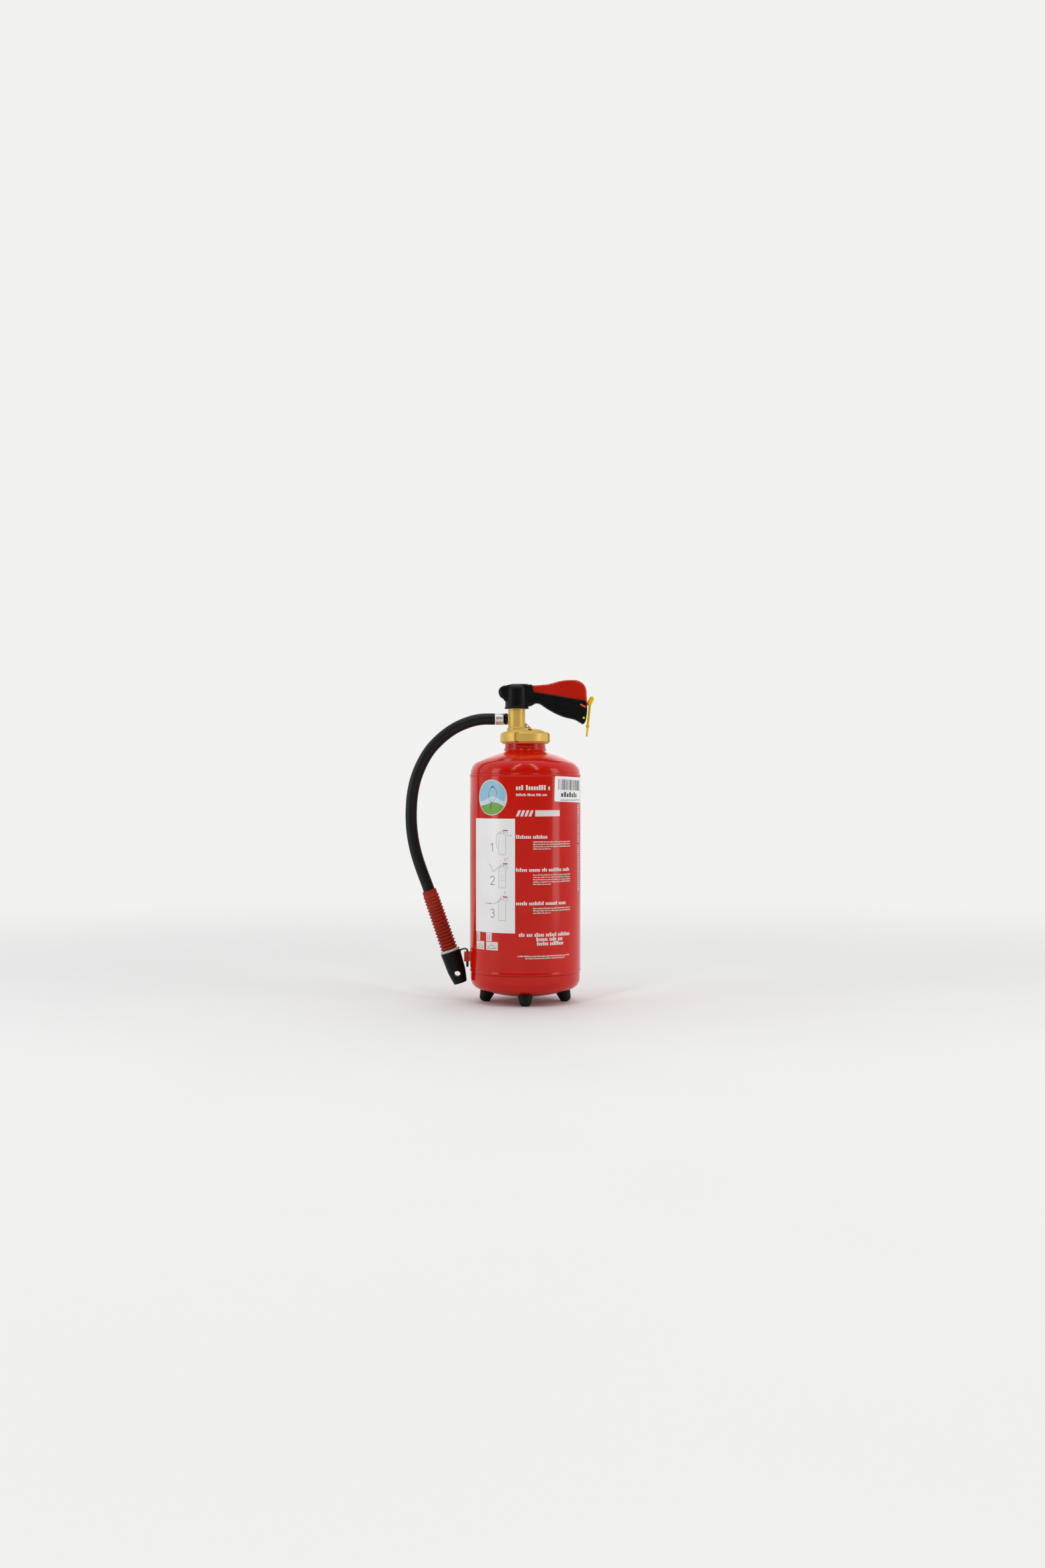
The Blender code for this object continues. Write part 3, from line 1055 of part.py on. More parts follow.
def main():
    """Build the extinguisher."""
    clear_scene()
    kit = Assembly(make_empty("extinguisher", (AXIS_X, 0, 0)))
    kit.add_pivot("lever_pivot", (PIVOT_X, 0, PIVOT_Z + HEAD_RISE))
    kit.add_pivot("rod_pivot", (TOWER_X, 0, TOWER_TOP + HEAD_RISE))
    kit.add_pivot("safety_pivot", (SAFETY_BIT[0][0], 0, SAFETY_BIT[0][1] + HEAD_RISE))
    kit.add_pivot("nozzle_pivot", (TONGUE_X, 0, TONGUE_END))
    make_jacket(kit)
    lip_top = make_top_dome(kit)
    make_bottom_dome(kit)
    make_feet(kit)
    make_holder(kit)
    make_hose(kit)
    make_nozzle(kit, make_grip(kit))
    make_labels(kit)
    kit.rise = HEAD_RISE
    make_neck(kit, lip_top - HEAD_RISE)
    make_nut(kit)
    make_valve_body(kit)
    make_relief_valve(kit)
    make_outlet(kit)
    make_cover(kit)
    make_handle(kit)
    make_rivet(kit)
    make_lever(kit)
    make_lever_arm(kit)
    make_bracket(kit)
    make_safety_clip(kit)
    make_push_rod(kit)
    make_cartridge(kit)
    make_tubes(kit)
    kit.seal()


main()
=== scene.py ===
"""Looks of the fire extinguisher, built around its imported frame.

Lengths in this script are millimetres from the container's axis and from the floor, and every
mesh is turned into metres when it is made. The front faces -Y and the hose hangs on the -X side.
"""

from __future__ import annotations

import json
import logging
import math
from dataclasses import dataclass, field
from enum import Enum
from typing import Callable

import bmesh
import bpy
import numpy as np
from mathutils import Matrix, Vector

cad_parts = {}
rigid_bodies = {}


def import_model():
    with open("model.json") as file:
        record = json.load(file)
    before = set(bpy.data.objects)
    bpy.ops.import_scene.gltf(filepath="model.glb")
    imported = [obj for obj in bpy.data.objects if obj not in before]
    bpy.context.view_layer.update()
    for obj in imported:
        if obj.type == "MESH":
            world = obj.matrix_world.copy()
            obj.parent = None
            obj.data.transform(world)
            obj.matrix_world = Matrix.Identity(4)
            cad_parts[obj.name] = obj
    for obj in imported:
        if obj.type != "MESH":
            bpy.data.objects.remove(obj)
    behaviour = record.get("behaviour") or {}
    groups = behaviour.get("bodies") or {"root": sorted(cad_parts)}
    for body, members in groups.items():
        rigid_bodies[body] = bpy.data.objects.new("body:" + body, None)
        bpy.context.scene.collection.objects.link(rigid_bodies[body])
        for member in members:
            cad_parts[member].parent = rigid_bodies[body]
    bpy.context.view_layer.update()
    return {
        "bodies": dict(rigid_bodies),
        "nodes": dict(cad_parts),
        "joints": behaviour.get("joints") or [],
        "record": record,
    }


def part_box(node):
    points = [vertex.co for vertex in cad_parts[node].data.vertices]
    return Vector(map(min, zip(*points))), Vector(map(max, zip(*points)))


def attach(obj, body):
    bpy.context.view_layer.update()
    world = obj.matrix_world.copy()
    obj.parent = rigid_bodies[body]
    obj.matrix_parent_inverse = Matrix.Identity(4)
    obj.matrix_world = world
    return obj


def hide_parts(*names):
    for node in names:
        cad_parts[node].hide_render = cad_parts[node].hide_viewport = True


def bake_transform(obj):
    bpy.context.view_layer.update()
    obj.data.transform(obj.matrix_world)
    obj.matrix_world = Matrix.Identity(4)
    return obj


LOG = logging.getLogger("extinguisher")
MM = 0.001
TAU = math.tau
Array = np.ndarray
Colour = tuple[float, float, float]


# --- Shader maths ---------------------------------------------------------------------------

class Value:
    """A number that flows through a material; the usual operators add Math nodes."""

    def __init__(self, shader: "Shader", socket: bpy.types.NodeSocket) -> None:
        """Wrap an output socket of a shader's node."""
        self.shader = shader
        self.socket = socket

    def _math(self, operation: str, *terms: "Value | float") -> "Value":
        """Add one Math node on some terms."""
        node = self.shader.node("ShaderNodeMath", {"operation": operation}, dict(enumerate(terms)))
        return Value(self.shader, node.outputs[0])

    def __add__(self, other: "Value | float") -> "Value":
        """Sum."""
        return self._math("ADD", self, other)

    __radd__ = __add__

    def __mul__(self, other: "Value | float") -> "Value":
        """Product."""
        return self._math("MULTIPLY", self, other)

    __rmul__ = __mul__

    def __sub__(self, other: "Value | float") -> "Value":
        """Difference."""
        return self._math("SUBTRACT", self, other)

    def __rsub__(self, other: float) -> "Value":
        """Difference from a number."""
        return self._math("SUBTRACT", other, self)

    def power(self, exponent: float) -> "Value":
        """Power."""
        return self._math("POWER", self, exponent)

    def ramp(self, low: float, high: float) -> "Value":
        """A clamped rise from 0 at low to 1 at high."""
        node = self.shader.node("ShaderNodeMapRange", {"clamp": True, "interpolation_type": "SMOOTHSTEP"},
                                {0: self, 1: low, 2: high, 3: 0.0, 4: 1.0})
        return Value(self.shader, node.outputs[0])


class Shader:
    """One material's nodes, around a Principled shader."""

    def __init__(self, name: str) -> None:
        """Start a material with an empty Principled shader."""
        self.material = bpy.data.materials.new(name)
        self.material.use_nodes = True
        self.nodes = self.material.node_tree.nodes
        self.links = self.material.node_tree.links
        self.surface = self.nodes["Principled BSDF"]
        self.places = self.node("ShaderNodeTexCoord").outputs["Object"]

    def node(self, kind: str, settings: dict | None = None, inputs: dict | None = None) -> bpy.types.Node:
        """Add a node.

        Args:
            kind: The node's type.
            settings: Its own properties, set first.
            inputs: A value, a Value or a socket for each input, by name or number.

        Returns:
            The new node.
        """
        node = self.nodes.new(kind)
        for key, value in (settings or {}).items():
            setattr(node, key, value)
        for key, value in (inputs or {}).items():
            self.feed(node.inputs[key], value)
        return node

    def feed(self, target: bpy.types.NodeSocket, value: object) -> None:
        """Link a Value or a socket to an input, or set a plain value on it."""
        if isinstance(value, Value):
            self.links.new(value.socket, target)
        elif isinstance(value, bpy.types.NodeSocket):
            self.links.new(value, target)
        else:
            target.default_value = value

    def noise(self, scale: float, detail: float = 3.0, stretch: Colour = (1.0, 1.0, 1.0)) -> Value:
        """Noise from 0 to 1 in object space, with a scale per metre and a stretch per axis."""
        spread = self.node("ShaderNodeMapping", None, {"Vector": self.places, "Scale": stretch})
        field_node = self.node("ShaderNodeTexNoise", None,
                               {"Vector": spread.outputs[0], "Scale": scale, "Detail": detail})
        return Value(self, field_node.outputs["Fac"])

    def cells(self, scale: float) -> Value:
        """Distance to the nearest of some scattered points, as a leather or moulded grain."""
        node = self.node("ShaderNodeTexVoronoi", None, {"Vector": self.places, "Scale": scale})
        return Value(self, node.outputs["Distance"])

    def axis(self, index: int) -> Value:
        """One object coordinate, in metres."""
        node = self.node("ShaderNodeSeparateXYZ", None, {0: self.places})
        return Value(self, node.outputs[index])

    def upward(self) -> Value:
        """How far the surface faces up, from -1 to 1."""
        normal = self.node("ShaderNodeTexCoord").outputs["Normal"]
        node = self.node("ShaderNodeSeparateXYZ", None, {0: normal})
        return Value(self, node.outputs[2])

    def mix(self, share: Value | float, first: object, second: object) -> bpy.types.NodeSocket:
        """Blend two colours, each a tuple or a socket."""
        def full(colour: object) -> object:
            """Give a plain colour its alpha."""
            return (*colour, 1.0) if isinstance(colour, tuple) else colour
        node = self.node("ShaderNodeMix", {"data_type": "RGBA"},
                         {0: share, 6: full(first), 7: full(second)})
        return node.outputs[2]

    def bump(self, height: Value, depth: float) -> None:
        """Drive the surface's normal with a height that counts as so many metres."""
        node = self.node("ShaderNodeBump", None, {"Height": height, "Distance": depth, "Strength": 1.0})
        self.links.new(node.outputs[0], self.surface.inputs["Normal"])


class Grain(Enum):
    """The texture that a surface keeps from how it was made."""

    PEEL = "sprayed paint"
    MOULD = "grained mould"
    CAST = "blasted casting"
    BRUSH = "turned or brushed metal"
    EXTRUDED = "extruded rubber"
    FILM = "printed film"


@dataclass(frozen=True)
class Finish:
    """A surface: its two colours, its gloss and the grain it was made with."""

    slot: str
    colour: Colour
    shade: Colour
    roughness: float
    grain: Grain
    depth: float
    metallic: float = 0.0
    coat: float = 0.0
    dust: float = 0.12
    scratches: float = 0.1
    specular: float = 0.5

    def height(self, shader: Shader) -> Value:
        """The grain's height field, from 0 to 1."""
        if self.grain is Grain.PEEL:
            return shader.noise(420.0, 2.0) * 0.75 + shader.noise(60.0, 1.0) * 0.25
        if self.grain is Grain.MOULD:
            return shader.cells(1500.0) * 0.8 + shader.noise(700.0, 3.0) * 0.5
        if self.grain is Grain.CAST:
            return shader.noise(1400.0, 4.0) * 0.8 + shader.noise(180.0, 2.0) * 0.5
        if self.grain is Grain.BRUSH:
            return shader.noise(260.0, 4.0, (1.0, 1.0, 14.0)) + shader.noise(90.0, 2.0) * 0.3
        if self.grain is Grain.EXTRUDED:
            return shader.noise(900.0, 3.0) * 0.6 + shader.noise(45.0, 2.0) * 0.4
        return shader.noise(240.0, 2.0)

    def material(self) -> bpy.types.Material:
        """Build the material.

        Returns:
            A Principled material whose colour, gloss and relief vary in object space: broad
            mottling, the grain, fine scratches, and dust where the surface faces up.
        """
        shader = Shader(self.slot)
        grain = self.height(shader)
        broad = shader.noise(22.0, 3.0).ramp(0.32, 0.70)
        base = shader.mix(broad * 0.85 + grain.ramp(0.3, 0.8) * 0.15, self.colour, self.shade)
        lines = shader.noise(55.0, 5.0, (1.0, 1.0, 9.0)).ramp(0.63, 0.70)
        cross = shader.noise(70.0, 5.0, (6.0, 6.0, 0.7)).ramp(0.66, 0.72)
        scratch = (lines + cross) * self.scratches
        settled = shader.upward().ramp(0.25, 1.0) * shader.noise(35.0, 6.0).ramp(0.40, 0.75)
        dust = settled * self.dust
        grey = (0.42, 0.40, 0.37)
        colour = shader.mix(dust + scratch * 0.12, base, grey)
        shader.feed(shader.surface.inputs["Base Color"], colour)
        gloss = shader.noise(16.0, 4.0) * 0.10 + grain * 0.05 + scratch * 0.5 + dust * 1.2
        shader.feed(shader.surface.inputs["Roughness"], gloss + (self.roughness - 0.07))
        shader.surface.inputs["Metallic"].default_value = self.metallic
        shader.surface.inputs["Coat Weight"].default_value = self.coat
        shader.surface.inputs["Coat Roughness"].default_value = 0.06
        shader.surface.inputs["Specular IOR Level"].default_value = self.specular
        shader.bump(grain - scratch * 0.6, self.depth * MM)
        shader.material.diffuse_color = (*self.colour, 1.0)
        return shader.material


FINISHES = {
    finish.slot: finish for finish in (
        Finish("red_paint", (0.63, 0.0080, 0.0004), (0.58, 0.0060, 0.0003), 0.15, Grain.PEEL, 0.010,
               coat=0.10, dust=0.012, scratches=0.04, specular=0.26),
        Finish("red_plastic", (0.56, 0.015, 0.004), (0.50, 0.012, 0.003), 0.15, Grain.PEEL, 0.010,
               coat=0.35, dust=0.01, scratches=0.05, specular=0.40),
        Finish("black_plastic", (0.0022, 0.0025, 0.0030), (0.0040, 0.0043, 0.0048), 0.36, Grain.MOULD, 0.030,
               dust=0.03, scratches=0.10, specular=0.16),
        Finish("black_rubber", (0.0060, 0.0060, 0.0060), (0.0100, 0.0096, 0.0092), 0.52, Grain.CAST, 0.030,
               dust=0.10, scratches=0.20, specular=0.18),
        Finish("hose_rubber", (0.0075, 0.0078, 0.0082), (0.0110, 0.0110, 0.0115), 0.38, Grain.EXTRUDED, 0.020,
               dust=0.04, scratches=0.10, specular=0.20),
        Finish("brass", (0.80, 0.54, 0.125), (0.72, 0.47, 0.10), 0.40, Grain.CAST, 0.018,
               metallic=0.35, dust=0.06, scratches=0.15),
        Finish("aluminium", (0.80, 0.79, 0.77), (0.66, 0.65, 0.64), 0.30, Grain.BRUSH, 0.012,
               metallic=0.75, dust=0.04, scratches=0.5),
        Finish("steel", (0.50, 0.50, 0.49), (0.36, 0.36, 0.36), 0.34, Grain.BRUSH, 0.012,
               metallic=0.9, dust=0.06, scratches=0.5),
        Finish("yellow_plastic", (0.98, 0.66, 0.002), (0.94, 0.58, 0.002), 0.32, Grain.MOULD, 0.010,
               dust=0.02, scratches=0.10, specular=0.25),
        Finish("orange_plastic", (0.90, 0.090, 0.012), (0.82, 0.075, 0.010), 0.36, Grain.MOULD, 0.010,
               dust=0.02, scratches=0.1, specular=0.25),
        Finish("grip_rubber", (0.40, 0.026, 0.007), (0.30, 0.017, 0.005), 0.50, Grain.CAST, 0.030,
               dust=0.06, scratches=0.2, specular=0.20),
        Finish("white_plastic", (0.66, 0.65, 0.60), (0.52, 0.51, 0.46), 0.42, Grain.MOULD, 0.012,
               dust=0.12, scratches=0.2),
        Finish("label_film", (0.92, 0.92, 0.92), (0.88, 0.88, 0.88), 0.30, Grain.FILM, 0.006,
               dust=0.02, scratches=0.06),
    )
}
INKS = {
    name: Finish("label_film", colour, tuple(0.9 * c for c in colour), 0.36, Grain.FILM, 0.004,
                 dust=0.0, scratches=0.1)
    for name, colour in {
        "white_ink": (0.80, 0.79, 0.77), "grey_ink": (0.30, 0.30, 0.31), "black_ink": (0.03, 0.03, 0.035),
        "violet_ink": (0.16, 0.11, 0.20), "claret_ink": (0.40, 0.02, 0.03), "sky_ink": (0.30, 0.58, 0.78),
        "haze_ink": (0.62, 0.78, 0.86), "meadow_ink": (0.16, 0.40, 0.04), "leaf_ink": (0.02, 0.07, 0.02),
        "rim_ink": (0.62, 0.66, 0.36), "lacquer": (0.50, 0.02, 0.012),
    }.items()
}


# --- Surfaces -------------------------------------------------------------------------------

@dataclass
class Surface:
    """Points, in millimetres, and faces of one or more closed shells."""

    points: Array
    faces: list[list[int]]

    def moved(self, matrix: Array) -> "Surface":
        """The same shell in another place, by a 4 by 4 matrix."""
        return Surface(self.points @ matrix[:3, :3].T + matrix[:3, 3], self.faces)

    @staticmethod
    def joined(parts: list["Surface"]) -> "Surface":
        """Several shells as one."""
        starts = np.cumsum([0] + [len(part.points) for part in parts])
        faces = [(np.add(face, start)).tolist() for part, start in zip(parts, starts)
                 for face in part.faces]
        return Surface(np.concatenate([part.points for part in parts]), faces)


def lattice(points: Array, wrap_rows: bool, wrap_columns: bool, caps: bool = False) -> Surface:
    """Faces over a grid of points.

    Args:
        points: A rows by columns by 3 array.
        wrap_rows: Whether the last row meets the first.
        wrap_columns: Whether the last column meets the first.
        caps: Whether the first and last rows are closed with a face each.

    Returns:
        The surface, each face joining point (i, j) to (i, j + 1), (i + 1, j + 1) and (i + 1, j).
    """
    rows, columns = points.shape[:2]
    i = np.arange(rows if wrap_rows else rows - 1)[:, None]
    j = np.arange(columns if wrap_columns else columns - 1)[None, :]
    right, down = (j + 1) % columns, (i + 1) % rows
    quads = np.stack(np.broadcast_arrays(i * columns + j, i * columns + right,
                                         down * columns + right, down * columns + j), -1)
    faces = quads.reshape(-1, 4).tolist()
    if caps:
        faces.append(list(range(columns))[::-1])
        faces.append(list(range((rows - 1) * columns, rows * columns)))
    return Surface(points.reshape(-1, 3), faces)


def arc(x: float, y: float, radius: float, start: float, end: float, count: int) -> Array:
    """Points on a circle between two angles in degrees: centre plus radius times (cos, sin)."""
    turn = np.radians(np.linspace(start, end, count))
    return np.column_stack([x + radius * np.cos(turn), y + radius * np.sin(turn)])


def path(*pieces: Array | tuple[float, float]) -> Array:
    """Chain points and runs of points into one outline."""
    return np.concatenate([np.atleast_2d(np.asarray(piece, float)) for piece in pieces])


def even(points: Array, spacing: float, closed: bool) -> Array:
    """Place points at an even spacing along a polyline, by interpolating over its length."""
    line = np.vstack([points, points[:1]]) if closed else points
    length = np.concatenate([[0], np.cumsum(np.linalg.norm(np.diff(line, axis=0), axis=1))])
    count = max(4, int(length[-1] / spacing))
    at = np.linspace(0, length[-1], count + 1)
    return np.column_stack([np.interp(at, length, line[:, k]) for k in range(line.shape[1])])[
        :count if closed else count + 1]


def softened(points: Array, spacing: float, reach: float) -> Array:
    """Round an outline's corners: even spacing, then a circular Gaussian average of some reach."""
    dense = even(points, spacing, True)
    count = len(dense)
    offset = np.minimum(np.arange(count), count - np.arange(count)) * spacing
    weight = np.exp(-0.5 * (offset / reach) ** 2)
    kernel = np.fft.fft(weight / weight.sum())[:, None]
    return np.real(np.fft.ifft(np.fft.fft(dense, axis=0) * kernel, axis=0))


def curve_through(points: Array, parts: int) -> Array:
    """A Catmull-Rom curve: cubic pieces through the points, with slopes from their neighbours."""
    ends = np.vstack([2 * points[0] - points[1], points, 2 * points[-1] - points[-2]])
    t = np.linspace(0, 1, parts, endpoint=False)[None, :, None]
    a, b, c, d = (ends[k:len(ends) - 3 + k, None, :] for k in range(4))
    run = 0.5 * (2 * b + (c - a) * t + (2 * a - 5 * b + 4 * c - d) * t ** 2
                 + (3 * b - a - 3 * c + d) * t ** 3)
    return np.vstack([run.reshape(-1, points.shape[1]), points[-1]])


def revolve(profile: Array, segments: int = 96,
            relief: Callable[[Array, Array], Array] | None = None) -> Surface:
    """Turn a profile of (radius, height) points about Z.

    Args:
        profile: A closed loop, or a run that starts and ends on the axis.
        segments: How many columns go round.
        relief: Adds to the radius, from the angle and the height of every point.

    Returns:
        The surface (r cos t, r sin t, z), with r = radius + relief(t, z).
    """
    turn = np.linspace(0, TAU, segments, endpoint=False)[None, :]
    radius = np.repeat(profile[:, :1], segments, axis=1)
    height = np.repeat(profile[:, 1:], segments, axis=1)
    if relief is not None:
        radius = radius + relief(turn, height) * (radius > 0)
    points = np.stack([radius * np.cos(turn), radius * np.sin(turn), height], -1)
    ring = profile[0, 0] > 1e-6 or profile[-1, 0] > 1e-6
    return lattice(points, ring, True)


def rim_radius(outline: Array, along: Array, rounding: float, sense: float) -> Array:
    """Radius of a slab's rim at each point of its outline.

    Args:
        outline: The outline's points.
        along: Its tangents.
        rounding: The most that the radius may be.
        sense: 1 when the outline runs anticlockwise, else -1.

    Returns:
        The rounding, less where a corner bends more tightly than it, rising gently from there.
    """
    ahead = np.roll(along, -1, axis=0)
    bend = sense * np.arcsin(np.clip(along[:, 0] * ahead[:, 1] - along[:, 1] * ahead[:, 0], -1, 1))
    gap = np.linalg.norm(np.roll(outline, -1, axis=0) - outline, axis=1)
    corner = 0.7 * gap / np.maximum(bend, 1e-6)
    travel = np.concatenate([[0], np.cumsum(gap)])
    apart = np.abs(travel[:-1, None] - travel[None, :-1])
    apart = np.minimum(apart, travel[-1] - apart)
    return np.minimum(np.min(corner[None] + 0.35 * apart, axis=1), rounding)


def slab(outline: Array, half: float | Array, rounding: float, steps: int = 4) -> Surface:
    """Carry an (x, z) outline across Y, with rims rounded by quarter circles.

    Args:
        outline: A closed loop of evenly spaced points.
        half: Half the width, one number or one for each point.
        rounding: The rims' radius; each rim row moves in along the outline's own normal.
        steps: Rows in each quarter circle.

    Returns:
        A closed surface with a flat face at each end.
    """
    along = np.roll(outline, -1, axis=0) - np.roll(outline, 1, axis=0)
    along /= np.linalg.norm(along, axis=1, keepdims=True)
    area = np.sum(outline[:, 0] * np.roll(outline[:, 1], -1) - outline[:, 1] * np.roll(outline[:, 0], -1))
    normal = np.column_stack([-along[:, 1], along[:, 0]]) * np.sign(area)
    radius = rim_radius(outline, along, rounding, np.sign(area))
    turn = np.radians(np.linspace(90, 0, steps + 1))
    inset = np.concatenate([[1.15], 1 - np.cos(turn)])
    lift = np.concatenate([[0.0], 1 - np.sin(turn)])
    inset, lift = (np.concatenate([run, run[::-1]]) for run in (inset, lift))
    side = np.repeat([-1.0, 1.0], len(inset) // 2)
    width = np.broadcast_to(half, len(outline))
    flat = outline[None] + normal[None] * (inset[:, None] * radius[None])[..., None]
    across = side[:, None] * (width[None] - lift[:, None] * radius[None])
    points = np.stack([flat[..., 0], across, flat[..., 1]], -1)
    return lattice(points, False, True, caps=True)


def sweep(route: Array, thick: Array | float, wide: Array | float, power: float = 2.0,
          segments: int = 24) -> Surface:
    """Carry a rounded section along a route in the XZ plane.

    Args:
        route: Points (x, z).
        thick: Half the section's size in the plane, along the route's normal.
        wide: Half its size along Y.
        power: 2 for an ellipse, more for a rounded rectangle (a superellipse).
        segments: Points around the section.

    Returns:
        A closed surface with flat ends.
    """
    slope = np.gradient(route, axis=0)
    slope /= np.linalg.norm(slope, axis=1, keepdims=True)
    normal = np.column_stack([-slope[:, 1], slope[:, 0]])
    turn = np.linspace(0, TAU, segments, endpoint=False) + math.pi / segments
    c, s = (np.sign(f) * np.abs(f) ** (2 / power) for f in (np.cos(turn), np.sin(turn)))
    thick, wide = (np.broadcast_to(size, len(route))[:, None] for size in (thick, wide))
    off = thick * c[None]
    points = np.stack([route[:, :1] + normal[:, :1] * off, wide * s[None],
                       route[:, 1:] + normal[:, 1:] * off], -1)
    return lattice(points, False, True, caps=True)


def standing(origin: tuple[float, float, float], direction: tuple[float, float, float]) -> Array:
    """A frame at a point with its Z along a direction, as a 4 by 4 matrix."""
    z = np.asarray(direction, float) / np.linalg.norm(direction)
    x = np.cross((0.0, 1.0, 0.0), z) if abs(z[1]) < 0.9 else np.cross((0.0, 0.0, 1.0), z)
    x /= np.linalg.norm(x)
    matrix = np.eye(4)
    matrix[:3, :3] = np.column_stack([x, np.cross(z, x), z])
    matrix[:3, 3] = origin
    return matrix


def bump_at(value: Array, centre: float, width: float) -> Array:
    """A smooth ridge of height 1: exp of minus the squared distance over the width."""
    return np.exp(-((value - centre) / width) ** 2)


# --- Pieces ---------------------------------------------------------------------------------

class Bench:
    """Turns surfaces into finished objects on the frame."""

    def __init__(self, frame: dict) -> None:
        """Read the container's axis from the frame and dress the frame's own nodes."""
        low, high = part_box("container_jacket")
        self.axis_x = (low[0] + high[0]) / 2
        self.materials: dict[str, bpy.types.Material] = {}
        slots = {part["node"]: part["material_slot"] for part in frame["record"]["subparts"]}
        for name, node in frame["nodes"].items():
            for slot in node.material_slots:
                slot.material = self.dressed(slots[name])

    def dressed(self, finish: str) -> bpy.types.Material:
        """The material of a finish or an ink, made once."""
        if finish not in self.materials:
            made = (FINISHES | INKS)[finish].material()
            made.name = finish
            self.materials[finish] = made
        return self.materials[finish]

    def raw(self, name: str, surface: Surface, angle: float = 32.0) -> bpy.types.Object:
        """Make a mesh object in metres, merged, facing out and shaded smooth below an angle."""
        mesh = bpy.data.meshes.new(name)
        points = surface.points * MM + np.array([self.axis_x, 0, 0])
        mesh.from_pydata(points.tolist(), [], surface.faces)
        self.cleaned(mesh, angle)
        item = bpy.data.objects.new(name, mesh)
        bpy.context.scene.collection.objects.link(item)
        return item

    @staticmethod
    def cleaned(mesh: bpy.types.Mesh, angle: float) -> None:
        """Merge doubled points, turn faces outwards and set the shading."""
        work = bmesh.new()
        work.from_mesh(mesh)
        bmesh.ops.remove_doubles(work, verts=work.verts, dist=1e-6)
        bmesh.ops.recalc_face_normals(work, faces=work.faces)
        work.to_mesh(mesh)
        work.free()
        mesh.shade_smooth()
        mesh.set_sharp_from_angle(angle=math.radians(angle))

    def carve(self, body: bpy.types.Object, tools: list[Surface], operation: str = "DIFFERENCE",
              angle: float = 32.0) -> None:
        """Cut closed shapes out of a piece, or join them to it, and apply the result."""
        for tool in tools:
            cutter = self.raw("cutter", tool)
            modifier = body.modifiers.new("carve", "BOOLEAN")
            modifier.operation = operation
            modifier.object = cutter
            modifier.solver = "EXACT"
            modifier.use_self = True
            view = bpy.context.evaluated_depsgraph_get()
            result = bpy.data.meshes.new_from_object(body.evaluated_get(view))
            body.modifiers.clear()
            body.data = result
            bpy.data.objects.remove(cutter, do_unlink=True)
        self.cleaned(body.data, angle)

    def place(self, item: bpy.types.Object, finish: str, body: str | None,
              nodes: tuple[str, ...] = ()) -> None:
        """Give a piece its finish, its body (if it rides one) and the nodes that it stands for."""
        item.data.materials.clear()
        item.data.materials.append(self.dressed(finish))
        if body:
            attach(item, body)
        if nodes:
            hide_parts(*nodes)
        LOG.info("%s on %s, %d faces", item.name, body or "a cord", len(item.data.polygons))

    def add(self, name: str, surface: Surface, finish: str, body: str | None,
            nodes: tuple[str, ...] = ()) -> bpy.types.Object:
        """Make and place a piece in one go."""
        item = self.raw(name, surface)
        self.place(item, finish, body, nodes)
        return item


def reach(node: str) -> tuple[Array, Array]:
    """A node's lowest and highest corners, in millimetres from the frame's origin."""
    low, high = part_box(node)
    return np.array(low) / MM, np.array(high) / MM


